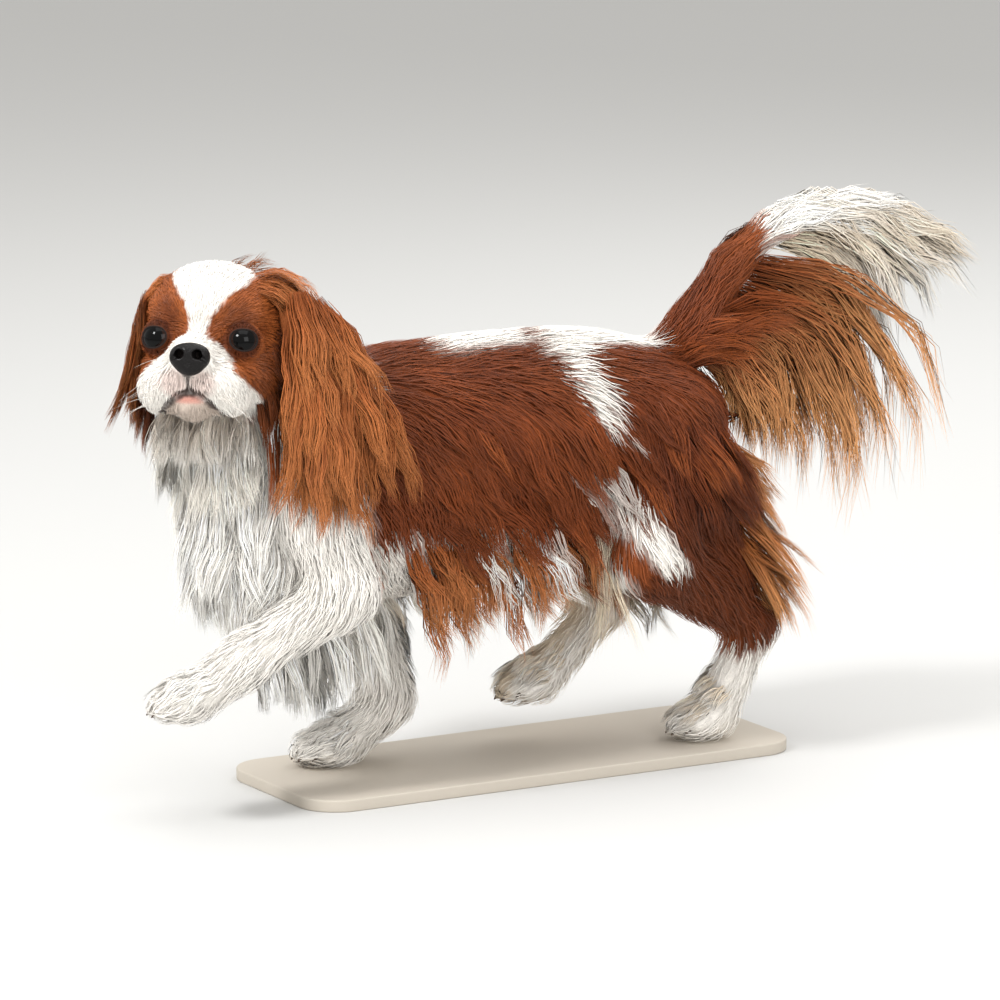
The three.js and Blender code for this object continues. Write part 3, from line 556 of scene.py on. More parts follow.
def ripple(p: Points, scale: float, seed: int) -> np.ndarray:
    """A smooth noise between -1 and 1: the mean of sines along seeded directions."""
    draw = np.random.default_rng(seed)
    total = np.zeros(len(p))
    for octave in (1.0, 1.9, 3.7):
        for _ in range(3):
            way = unit(draw.normal(size=3)) * 2 * math.pi * octave / scale
            total += np.sin(p @ way + draw.uniform(0, 2 * math.pi)) / octave
    return total / 3.4


@dataclass
class Markings:
    """The patches of the coat, the same for the skin and for the hair that grows from it."""

    blaze: Sequence[tuple[float, float]] = (
        (-95, 60), (-50, 48), (-37, 43), (-30, 37), (-20, 29), (-9, 21), (-5, 17), (0, 9), (5, 6.5),
        (15, 7), (29, 14), (38, 22), (48, 27), (57, 25), (64, 18),
    )

    def paint(self, p: Points) -> Points:
        """The colour of the coat at each point."""
        edge = 4 * ripple(p, 45, 3) + 2 * ripple(p, 14, 4)
        head_share = ease(-10, 6, (p - NAPE) @ NAPE_WAY)
        body = self.body_paint(p, edge)
        head = self.head_paint(p)
        return body + (head - body) * head_share[:, None]

    @staticmethod
    def over(base: Colour, *layers: tuple[Colour, np.ndarray]) -> Points:
        """Colours laid over a first one in turn, each by its share at every point."""
        paint = np.array(base)
        for colour, share in layers:
            paint = paint + (np.array(colour) - paint) * np.clip(share, 0, 1)[:, None]
        return paint

    def body_paint(self, p: Points, edge: np.ndarray) -> Points:
        """The patches of the trunk, the neck, the legs and the tail."""
        x, y, z = p.T
        wide, back, high = np.abs(x), y + edge, z + edge
        tone = 0.5 + 0.5 * ripple(p * np.array([1, 0.35, 1]), 40, 5)
        rust = 0.25 * tone + 0.4 * ease(190, 140, z + 0.5 * edge)
        thigh = ease(60, 90, y) * ease(270, 230, z) * ease(45, 58, wide)
        front_patch = ease(300, 306, high) * ease(30, 18, wide + edge)
        front_patch = front_patch * ease(-58, -50, back) * ease(24, 16, back)
        rear_width = np.interp(y, (34, 60, 90, 140), (44, 38, 26, 14))
        rear_patch = ease(4, -4, wide - rear_width + edge) * ease(26, 36, back)
        rear_patch = rear_patch * ease(262, 276, high) * ease(140, 128, back)
        tongue = ease(16, 9, np.abs(y - 50 - 0.16 * (300 - z)) + 0.7 * edge) * ease(236, 252, high)
        collar = ease(22, 15, np.hypot(y + 152, (z - 300) * 0.7) + 0.5 * edge)
        belly = ease(160, 148, z + 0.7 * edge) * ease(78, 66, wide + edge) * ease(86, 70, back)
        belly = belly * ease(142, 136, high)
        belly_gap = ease(40, 26, np.abs(y + 22) + edge) * ease(176, 166, high)
        slant = y - 66 - 0.8 * (214 - z) + edge
        flank = ease(-9, -16, slant) * ease(-44, -34, slant) * ease(216, 204, high) * ease(132, 142, high)
        chest = ease(-158, -174, y + 0.45 * (z - 190) + edge)
        fore = ease(-126, -140, y + 0.2 * (z - 150) + edge) * ease(232, 214, high)
        low = ease(104, 92, high + 32 * ease(60, 80, y) * ease(0, 10, x))
        fore_far = ease(-40, -56, back) * ease(176, 160, high)
        whites = (
            front_patch, rear_patch, tongue, collar, belly, belly_gap, flank, chest, fore, low, fore_far,
        )
        far_hind = ease(-20, -34, x) * ease(0, 20, y) * ease(176, 150, high)
        elbow = ease(12, 7, np.hypot(y + 132, z - 150) + 0.4 * edge)
        tail = ease(150, 160, y) * ease(268, 284, z + 0.4 * (y - 150))
        return self.over(
            CHESTNUT, (RUST, rust), (DARK, 0.6 * thigh), *((WHITE, share) for share in whites),
            (CREAM, 0.9 * far_hind), (RUST, elbow), (RUST, 0.6 * tail * ease(180, 220, y)),
            (WHITE, tail * ease(216, 232, back)),
        )

    def head_paint(self, p: Points) -> Points:
        """The blaze, the white muzzle, the dark round the eyes, the lips and the whisker beds, with
        painted shade on the sides of the head below the eyes and under the jaw.
        """
        q = along_head(p)
        left, forward, up = q.T
        wide = np.abs(left)
        edge = 1.6 * ripple(p, 14, 6) + 0.9 * ripple(p, 5, 7)
        # Painted shade: the sides of the head below the eyes, towards the ears, are darkened as if in
        # shadow.
        cheek = ease(34, 46, wide) * ease(6, -16, up)
        brow = ease(17, 6, np.hypot(wide - 26, (up - 15) * 1.1))
        under = ease(16, 6, np.hypot(wide - 31, up + 18))
        places, widths = np.array(self.blaze).T
        width = np.interp(up, places, widths) + 4.5 * ease(12, 24, up) * ease(60, 48, up) * (left > 0)
        white = ease(1.8, -1.8, wide - width + edge) * ease(-66, -58, forward + edge)
        behind = ease(-40, -26, forward + edge + 0.5 * (wide - 30))
        white = white * np.where(up < 6, np.maximum(behind, ease(-54, -64, up + edge)), 1)
        bed = ease(15, 6, np.hypot(wide - 10, (up + 35) * 1.2)) * ease(8, 18, forward)
        spots = ease(0.62, 0.9, ripple(p, 6, 9)) * bed
        # Painted shade: the underside of the jaw is painted grey-brown.
        jaw_shade = ease(-42, -46, up + 0.02 * left**2) * ease(26, 18, wide) * ease(-12, 0, forward)
        lower_lip = ease(13, 9, wide) * ease(-41, -43.5, up) * ease(-50, -47, up) * ease(14, 20, forward)
        lips = ease(4.4, 1.6, self.mouth_distance(p) + 0.5 * edge)
        eyes = [np.array([side * (EYE_SPREAD + 1.5), 1, 0]) for side in SIDES]
        rims = [ease(15.5, 12, np.linalg.norm(q - eye, axis=1) + 0.4 * edge) for eye in eyes]
        cleft = ease(1.6, 0.6, wide - 2.6 * ease(-33, -29, up)) * ease(-40, -37, up)
        cleft = cleft * ease(-20, -26, up) * ease(14, 22, forward)
        return self.over(
            FACE, (CHESTNUT, 0.35 + 0.3 * ripple(p, 24, 8)), (DARK, 0.5 * cheek), (DARK, 0.55 * brow),
            (RUST, 0.5 * under), (WHITE, white), (PINK, 0.35 * bed), (BLACK, 0.7 * spots),
            (JAW_SHADE, 0.75 * jaw_shade), (PINK, 0.9 * lower_lip), (LIPS, 0.95 * lips),
            *((DARK, 0.8 * rim) for rim in rims), (BLACK, 0.8 * cleft),
            (BLACK, ease(0.5, -1.5, nose_form()(p))),
        )

    @staticmethod
    def mouth_distance(p: Points) -> np.ndarray:
        """How far points lie from the line of the mouth."""
        line = DOG.mouth_line()
        return np.min([form(p) for form in chain(line, [0.0] * len(line))], axis=0)


DOG = Anatomy()
MARKINGS = Markings()


# Meshes

def in_scene(name: str, data: bpy.types.ID) -> bpy.types.Object:
    """A new object in the scene."""
    item = bpy.data.objects.new(name, data)
    bpy.context.scene.collection.objects.link(item)
    return item


@dataclass
class Surface:
    """A surface in design millimetres: its points, faces, colours and maps for each corner."""

    points: Points
    faces: Sequence[np.ndarray]
    paint: Points | None = None
    maps: dict[str, np.ndarray] = field(default_factory=dict)
    normals: Points | None = None
    values: dict[str, np.ndarray] = field(default_factory=dict)

    def piece(self, name: str, material: bpy.types.Material, slot: Slot, *nodes: str) -> bpy.types.Object:
        """Makes the surface a piece of the scene.

        Args:
            name: The piece's name.
            material: Its finish.
            slot: The record's slot of that finish; not used.
            nodes: The CAD nodes that it stands for.

        Returns:
            The piece, riding on the one body.
        """
        mesh = bpy.data.meshes.new(name)
        faces = [part for part in self.faces if len(part)]
        loops = np.concatenate([part.ravel() for part in faces]).astype(np.int32)
        totals = np.concatenate([np.full(len(part), part.shape[1]) for part in faces]).astype(np.int32)
        starts = np.concatenate([[0], np.cumsum(totals)[:-1]]).astype(np.int32)
        mesh.vertices.add(len(self.points))
        mesh.vertices.foreach_set("co", PLACE.metres(self.points).astype(np.float32).ravel())
        mesh.loops.add(len(loops))
        mesh.loops.foreach_set("vertex_index", loops)
        mesh.polygons.add(len(totals))
        mesh.polygons.foreach_set("loop_start", starts)
        mesh.polygons.foreach_set("loop_total", totals)
        mesh.polygons.foreach_set("use_smooth", np.ones(len(totals), bool))
        mesh.update(calc_edges=True)
        if self.normals is not None:
            mesh.normals_split_custom_set_from_vertices(self.normals.astype(np.float32))
        if self.paint is not None:
            layer = mesh.attributes.new("Paint", "FLOAT_COLOR", "POINT")
            rgba = np.concatenate([self.paint, np.ones((len(self.paint), 1))], axis=1)
            layer.data.foreach_set("color", np.clip(rgba, 0, 1).astype(np.float32).ravel())
        for label, values in self.values.items():
            layer = mesh.attributes.new(label, "FLOAT", "POINT")
            layer.data.foreach_set("value", values.astype(np.float32))
        for label, places in self.maps.items():
            layer = mesh.uv_layers.new(name=label)
            layer.data.foreach_set("uv", places[loops].astype(np.float32).ravel())
        mesh.materials.append(material)
        piece = in_scene(name, mesh)
        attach(piece, "root")
        if nodes:
            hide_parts(*nodes)
        LOG.info("%s: %d triangles", name, int((totals - 2).sum()))
        return piece


COARSE = 10.0
NEAR = 17.0


def surface_net(form: Form, spans: Sequence[np.ndarray], steps: int = 4) -> Surface:
    """The surface of a form over a grid, as quads.

    Each cell that the surface passes through has one corner of the net, moved onto the surface
    inside its cell, and each edge of the grid that crosses the surface has a quad around it. The
    form is worked out on a coarse grid first, and then only near the surface.

    Args:
        form: The form.
        spans: The grid's places along each axis.
        steps: How many times each corner moves.

    Returns:
        The net.
    """
    lows = np.array([span[0] for span in spans])
    coarse_spans = [np.arange(span[0], span[-1] + COARSE, COARSE) for span in spans]
    coarse = form(np.stack(np.meshgrid(*coarse_spans, indexing="ij"), -1).reshape(-1, 3))
    coarse = coarse.reshape([len(span) for span in coarse_spans])
    nearest = [np.rint((span - low) / COARSE).astype(int) for span, low in zip(spans, lows)]
    values = coarse[np.ix_(*nearest)].copy()
    near = np.argwhere(np.abs(values) < NEAR)
    places = np.stack([spans[axis][near[:, axis]] for axis in range(3)], axis=1)
    values[tuple(near.T)] = form(places)
    inside = values < 0
    mixed = np.zeros([n - 1 for n in inside.shape], np.int8)
    for i in (0, 1):
        for j in (0, 1):
            for k in (0, 1):
                ends = [n - 1 + o for n, o in zip(inside.shape, (i, j, k))]
                mixed += inside[i : ends[0], j : ends[1], k : ends[2]]
    cells = np.argwhere((mixed > 0) & (mixed < 8))
    number = np.full(mixed.shape, -1)
    number[tuple(cells.T)] = np.arange(len(cells))
    low = np.stack([spans[axis][cells[:, axis]] for axis in range(3)], axis=1)
    high = np.stack([spans[axis][cells[:, axis] + 1] for axis in range(3)], axis=1)
    points = (low + high) / 2
    for _ in range(steps):
        points = np.clip(settle(form, points, steps=1), low, high)
    quads = []
    offsets = np.eye(3, dtype=int)
    for axis in range(3):
        first = [slice(None)] * 3
        second = [slice(None)] * 3
        first[axis] = slice(0, -1)
        second[axis] = slice(1, None)
        edges = np.argwhere(inside[tuple(first)] != inside[tuple(second)])
        s, t = offsets[(axis + 1) % 3], offsets[(axis + 2) % 3]
        around = [number[tuple((edges - o).T)] for o in (0 * s, s, s + t, t)]
        quad = np.stack(around, axis=1)
        outer = ~inside[tuple(edges.T)]
        quad[outer] = quad[outer][:, ::-1]
        quads.append(quad)
    return Surface(points, [np.concatenate(quads)])


def span_of(*stretches: tuple[float, float, float]) -> np.ndarray:
    """Places along an axis: stretches of start, end and step, joined end to end."""
    parts = [np.arange(start, end, step) for start, end, step in stretches]
    return np.concatenate(parts)


def grid_faces(rows: int, columns: int, start: int = 0) -> np.ndarray:
    """The quads of a grid that closes on itself round its columns."""
    row, column = np.meshgrid(np.arange(rows - 1), np.arange(columns), indexing="ij")
    a = start + row * columns + column
    b = start + row * columns + (column + 1) % columns
    return np.stack([a, b, b + columns, a + columns], -1).reshape(-1, 4)


def capped_grid(rows: int, columns: int) -> list[np.ndarray]:
    """The faces of a closed grid whose first and last rows each meet in one more point."""
    around = np.arange(columns)
    onwards = (around + 1) % columns
    first, last, end = rows * columns, rows * columns + 1, (rows - 1) * columns
    return [
        grid_faces(rows, columns), np.stack([onwards, around, np.full(columns, first)], 1),
        np.stack([end + around, end + onwards, np.full(columns, last)], 1),
    ]


def frames(paths: Points, outs: Points) -> tuple[Points, Points]:
    """The ways across paths and out of them at each of their points, out being nearest to outs."""
    tangent = unit(np.gradient(paths, axis=-2))
    across = unit(np.cross(tangent, outs))
    return across, unit(np.cross(across, tangent))


def swept(
    path: Points, out: Points, width: np.ndarray, thick: np.ndarray, cup: float, sides: int,
) -> Surface:
    """A closed shape along a path.

    Each ring is an ellipse in the plane across the path, wide along across and thick along out,
    and bent back by cup times the square of its place across. A cap of one point closes each end.

    Args:
        path: The path's points.
        out: The way that the wide side faces.
        width: The width at each point.
        thick: The thickness at each point.
        cup: How far the edges bend back.
        sides: Corners of each ring.

    Returns:
        The shape, with the shares along and round as the map OFBake.
    """
    across, face = frames(path, out)
    angle = np.arange(sides) * 2 * math.pi / sides
    side = np.sin(angle)[None, :, None]
    front = np.cos(angle)[None, :, None]
    rings = (
        path[:, None]
        + across[:, None] * side * (width / 2)[:, None, None]
        + face[:, None] * front * (thick / 2)[:, None, None]
        - face[:, None] * cup * (side * (width / width.max())[:, None, None]) ** 2
    )
    count = len(path)
    points = np.concatenate([rings.reshape(-1, 3), path[:1], path[-1:]])
    share = np.repeat(np.linspace(0.05, 0.95, count), sides)
    places = np.stack([0.5 + 0.42 * np.tile(np.sin(angle), count), share], 1)
    places = np.concatenate([places, [[0.5, 0.02], [0.5, 0.98]]])
    return Surface(points, capped_grid(count, sides), maps={"OFBake": places})


def merged(parts: Sequence[Surface]) -> Surface:
    """Several surfaces that have the same maps, as one."""
    starts = np.cumsum([0] + [len(part.points) for part in parts[:-1]])
    faces = [face + start for part, start in zip(parts, starts) for face in part.faces]
    four = [face for face in faces if face.shape[1] == 4]
    three = [face for face in faces if face.shape[1] == 3]
    kinds = [np.concatenate(kind) for kind in (four, three) if kind]
    maps = {label: np.concatenate([part.maps[label] for part in parts]) for label in parts[0].maps}
    return Surface(np.concatenate([part.points for part in parts]), kinds, maps=maps)


# Hair

BAKE_PATCH = 0.003
SECTION_WIDE = np.array([-1.0, 1.0, 0.0])
SECTION_HIGH = np.array([-0.35, -0.35, 1.0])
SECTION_ACROSS = np.array([0.0, 1.0, 0.5])
SECTION_FLAT = 0.45
ROUND_WAY = 0.65
STREAK_SHIFT = 1.37


@dataclass
class Hair:
    """Many tapered strands: paths of a few points each, with their widths, colours and roots."""

    paths: Points
    outs: Points
    widths: np.ndarray
    root_paint: Points
    tip_paint: Points
    roots: np.ndarray

    def surface(self) -> Surface:
        """The strands as closed strips of three sides that come to a point.

        A strand's half width at the share t of its length is its width times 0.35 + 0.65 t/0.25
        up to t = 0.25, and then times 1 - s to the power 1.5, s running from 0 to 1.
        """
        count, stops = self.paths.shape[:2]
        rings = stops - 1
        t = np.arange(rings) / rings
        past = np.clip((t - 0.25) / 0.75, 0, 1)
        taper = np.where(t < 0.25, 0.35 + 0.65 * t / 0.25, 1 - past**1.5)
        across, face = (way[:, :rings] for way in frames(self.paths, self.outs[:, None]))
        half = (self.widths[:, None] / 2 * taper)[:, :, None, None]
        corners = (
            self.paths[:, :rings, None]
            + across[:, :, None] * SECTION_WIDE[:, None] * half
            + face[:, :, None] * SECTION_HIGH[:, None] * half * SECTION_FLAT
        )
        points = np.concatenate([corners.reshape(count, -1, 3), self.paths[:, -1:]], axis=1)
        size = rings * 3 + 1
        base = (np.arange(count) * size)[:, None, None]
        ring, side = np.meshgrid(np.arange(rings - 1), np.arange(3), indexing="ij")
        a = ring * 3 + side
        b = ring * 3 + (side + 1) % 3
        quads = np.stack([b, a, a + 3, b + 3], -1).reshape(-1, 4)
        last = (rings - 1) * 3
        tips = np.array([[last + (s + 1) % 3, last + s, size - 1] for s in range(3)] + [[0, 1, 2]])
        faces = [(quads + base).reshape(-1, 4), (tips + base).reshape(-1, 3)]
        share = np.append(np.repeat(t, 3), 1.0)
        across_share = np.append(np.tile(SECTION_ACROSS, rings), 0.5)
        mix = (share**1.3)[None, :, None]
        paint = self.root_paint[:, None] * (1 - mix) + self.tip_paint[:, None] * mix
        patch = np.stack([across_share - 0.5, share - 0.5], 1) * BAKE_PATCH
        bake = self.roots[:, None] + patch
        shifted = across_share[None] + np.arange(count)[:, None] * STREAK_SHIFT
        streak = np.stack([shifted, np.broadcast_to(share, (count, size))], -1)
        round_way = across[:, :, None] * SECTION_WIDE[:, None] + face[:, :, None] * SECTION_HIGH[:, None]
        normals = np.concatenate([unit(round_way).reshape(count, -1, 3), face[:, -1:]], axis=1)
        normals = unit(normals + ROUND_WAY * self.outs[:, None])
        surface = Surface(
            points.reshape(-1, 3), faces, paint.reshape(-1, 3), normals=normals.reshape(-1, 3),
        )
        surface.maps["OFBake"] = bake.reshape(-1, 2)
        surface.maps["Streak"] = streak.reshape(-1, 2)
        return surface

    @staticmethod
    def together(parts: Sequence["Hair"]) -> "Hair":
        """Several heads of hair, whose paths have as many points, as one."""
        names = ("paths", "outs", "widths", "root_paint", "tip_paint", "roots")
        return Hair(*(np.concatenate([getattr(part, name) for part in parts]) for name in names))


@dataclass
class Skin:
    """The one skin under the coat, with its unwrap and the middles of its faces."""

    fine: float = 1.5
    coarse: float = 4.2

    def build(self, material: bpy.types.Material) -> bpy.types.Object:
        """Makes the skin, finer on the head, and unwraps it.

        Args:
            material: The skin's finish.

        Returns:
            The skin.
        """
        fine, coarse = self.fine, self.coarse
        spans = [
            span_of((-112, -26, coarse), (-26, 128, fine), (128, 136, coarse)),
            span_of((-340, -206, fine), (-206, 336, coarse)),
            span_of((-4, 262, coarse), (262, 412, fine)),
        ]
        surface = surface_net(DOG.skin, spans)
        surface.paint = MARKINGS.paint(surface.points)
        nodes = [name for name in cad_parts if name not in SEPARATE_NODES]
        piece = surface.piece("skin", material, Slot.CHESTNUT, *nodes)
        bpy.context.view_layer.objects.active = piece
        piece.select_set(True)
        bpy.ops.object.mode_set(mode="EDIT")
        bpy.ops.mesh.select_all(action="SELECT")
        bpy.ops.uv.smart_project(angle_limit=math.radians(66), island_margin=0.002)
        bpy.ops.object.mode_set(mode="OBJECT")
        piece.select_set(False)
        piece.data.uv_layers[0].name = "OFBake"
        self.learn(piece, surface)
        return piece

    def learn(self, piece: bpy.types.Object, surface: Surface) -> None:
        """Keeps the middle, area and unwrapped place of each face, for the coat's roots."""
        places = np.empty(len(piece.data.loops) * 2, np.float32)
        piece.data.uv_layers["OFBake"].data.foreach_get("uv", places)
        quads = surface.faces[0]
        self.corners = surface.points[quads]
        self.places = places.reshape(len(quads), 4, 2)
        self.middles = self.corners.mean(axis=1)
        diagonals = self.corners[:, 2] - self.corners[:, 0], self.corners[:, 3] - self.corners[:, 1]
        self.areas = np.linalg.norm(np.cross(*diagonals), axis=1) / 2
        self.tree = KDTree(len(self.middles))
        for i, middle in enumerate(self.middles):
            self.tree.insert(middle, i)
        self.tree.balance()

    def scatter(
        self, draw: np.random.Generator, count: int, density: np.ndarray,
    ) -> tuple[Points, np.ndarray]:
        """Roots strewn over the skin.

        Args:
            draw: The source of chance.
            count: How many roots.
            density: How thickly they stand on each face.

        Returns:
            The roots and their unwrapped places.
        """
        shares = np.cumsum(self.areas * density)
        faces = np.searchsorted(shares, draw.uniform(0, shares[-1], count))
        faces = np.minimum(faces, len(self.areas) - 1)
        s, t = draw.uniform(0, 1, (2, count))
        weights = np.stack([(1 - s) * (1 - t), s * (1 - t), s * t, (1 - s) * t], 1)
        roots = np.einsum("ij,ijk->ik", weights, self.corners[faces])
        return roots, self.places[faces].mean(axis=1)

    def places_at(self, points: Points) -> np.ndarray:
        """The unwrapped places of the faces nearest to some points."""
        found = [self.tree.find(point)[1] for point in points]
        return self.places[found].mean(axis=1)


SKIN = Skin()


@dataclass
class ShortCoat:
    """The coat that lies along the body: tufts that follow the skin at their own height over it.

    Each region has its zones, how many tufts grow there, and how many points each has.
    """

    seed: int = 11
    wave: float = 1.1
    wave_length: float = 30.0
    regions: Sequence[tuple[str, Sequence[str], int, int, Slot]] = (
        ("coat_head", ("head",), 13500, 2, Slot.CHESTNUT),
        ("coat_neck", ("neck", "chest"), 3800, 2, Slot.WHITE),
        ("coat_trunk", ("trunk",), 11800, 3, Slot.CHESTNUT),
        ("coat_forelegs", ("fore_left", "fore_right"), 6200, 3, Slot.WHITE),
        ("coat_hindlegs", ("hind_left", "hind_right"), 5900, 3, Slot.CHESTNUT),
        ("coat_tail", ("tail",), 2000, 3, Slot.RUST),
    )

    def build(self, material: bpy.types.Material) -> None:
        """Grows every region's tufts, a piece for each region."""
        weights = DOG.zone_weights(SKIN.middles)
        main = np.array([zone.name for zone in DOG.zones])[weights.argmax(axis=1)]
        draw = np.random.default_rng(self.seed)
        for name, zones, count, rings, slot in self.regions:
            chosen = np.isin(main, zones).astype(float)
            if name == "coat_head":
                chosen *= self.face_density()
            hair = self.grow(draw, count, rings, chosen)
            if name == "coat_head":
                hair = Hair.together([hair] + [Eye(side).fur(draw) for side in SIDES])
            hair.surface().piece(name, material, slot)

    def face_density(self) -> np.ndarray:
        """Tufts are thickest on the front of the face, and keep off the eyes and the nose."""
        q = along_head(SKIN.middles)
        density = 0.6 + 1.2 * ease(-50, -20, q[:, 1])
        for side in SIDES:
            eye = np.linalg.norm(q - np.array([side * EYE_SPREAD, -8, 0]), axis=1)
            density = density * ease(13.4, 14.4, eye)
        mouth = ease(2.4, 3.0, MARKINGS.mouth_distance(SKIN.middles))
        lip = ease(12, 9, np.abs(q[:, 0])) * ease(
            -41, -43, q[:, 2],
        ) * ease(-50, -47, q[:, 2]) * ease(14, 20, q[:, 1])
        return density * mouth * (1 - lip) * ease(0.4, 1.2, nose_form()(SKIN.middles))

    def grow(self, draw: np.random.Generator, count: int, rings: int, density: np.ndarray) -> Hair:
        """Tufts from roots strewn by density.

        A tuft runs along the lie of the coat in steps, turned from side to side by a sine whose
        phase is the same for neighbours, and after each step is set to its height over the skin,
        which rises from below it at the root to its own share of the coat's depth.

        Args:
            draw: The source of chance.
            count: How many tufts.
            rings: How many points each has before its tip.
            density: How thickly they stand on each face of the skin.

        Returns:
            The tufts.
        """
        roots, places = SKIN.scatter(draw, count, density)
        weights = DOG.zone_weights(roots)
        lengths, widths, rises = (
            weights @ np.array([getattr(zone, name) for zone in DOG.zones])
            for name in ("length", "width", "rise")
        )
        face = weights[:, 0] * ease(-30, 0, along_head(roots)[:, 1])
        lengths *= (1 - 0.35 * face) * draw.uniform(0.7, 1.25, count)
        widths *= (1 - 0.2 * face) * draw.uniform(0.7, 1.3, count)
        rises *= draw.uniform(0.25, 1.15, count)
        normals = outwards(DOG.skin, roots)
        phase = ripple(roots, 60, 12) * 3 + draw.uniform(-0.5, 0.5, count)
        p = roots - normals * 0.8
        path = [p]
        for k in range(rings):
            t = (k + 0.5) / rings
            way = DOG.lie(path[-1], None if k else weights)
            way = unit(way - np.einsum("ij,ij->i", way, normals)[:, None] * normals)
            sideways = np.cross(normals, way)
            swing = self.wave * np.cos(2 * math.pi * t * lengths / self.wave_length + phase)
            swing = swing * np.minimum(lengths / 30, 1) * 0.5
            way = unit(way + sideways * swing[:, None] * 0.55)
            p = path[-1] + way * (lengths / rings)[:, None]
            height = rises * min(1.0, 0.35 + 0.8 * (k + 1) / rings)
            slope, fall = fall_of(DOG.skin, p, height, 0.3)
            p = p - slope * np.clip(fall, -8, 8)
            p[:, 2] = np.maximum(p[:, 2], 0.5)
            normals = unit(slope)
            path.append(p)
        paint = MARKINGS.paint(path[(rings + 1) // 2])
        tone = (draw.normal(1, 0.13, count) * (1 + 0.12 * ripple(roots, 22, 13)))[:, None]
        bright = paint.mean(axis=1, keepdims=True) > 0.4
        root_paint = paint * np.where(bright, 0.55 + 0.45 * tone, 0.85 * tone)
        tip_paint = paint * np.where(bright, 0.62 + 0.42 * tone, 1.25 * tone)
        return Hair(np.stack(path, 1), outwards(DOG.skin, roots), widths, root_paint, tip_paint, places)


Line = Sequence[Sequence[float]]
MIRROR = np.diag([-1.0, 1.0, 1.0])
LOCK_STEPS = 10


def blend_rows(rows: Sequence[Line], down: np.ndarray, across: np.ndarray) -> Points:
    """Values from rows of values, smooth along each row and straight from row to row.

    Args:
        rows: Rows that each hold as many values.
        down: The share from the first row to the last.
        across: The share from the first value of a row to the last.

    Returns:
        A value for each pair of shares.
    """
    table = np.array(rows, float)
    if table.ndim == 2:
        table = table[None]
    columns = table.shape[1]
    place = across * (columns - 1)
    i = np.clip(place.astype(int), 0, columns - 2)
    t = place - i
    t = (0.5 * t + 0.5 * t * t * (3 - 2 * t))[:, None]
    j_place = down * (len(table) - 1)
    j = np.clip(j_place.astype(int), 0, max(len(table) - 2, 0))
    s = (j_place - j)[:, None]
    k = np.minimum(j + 1, len(table) - 1)
    upper = table[j, i] * (1 - t) + table[j, i + 1] * t
    lower = table[k, i] * (1 - t) + table[k, i + 1] * t
    return upper * (1 - s) + lower * s


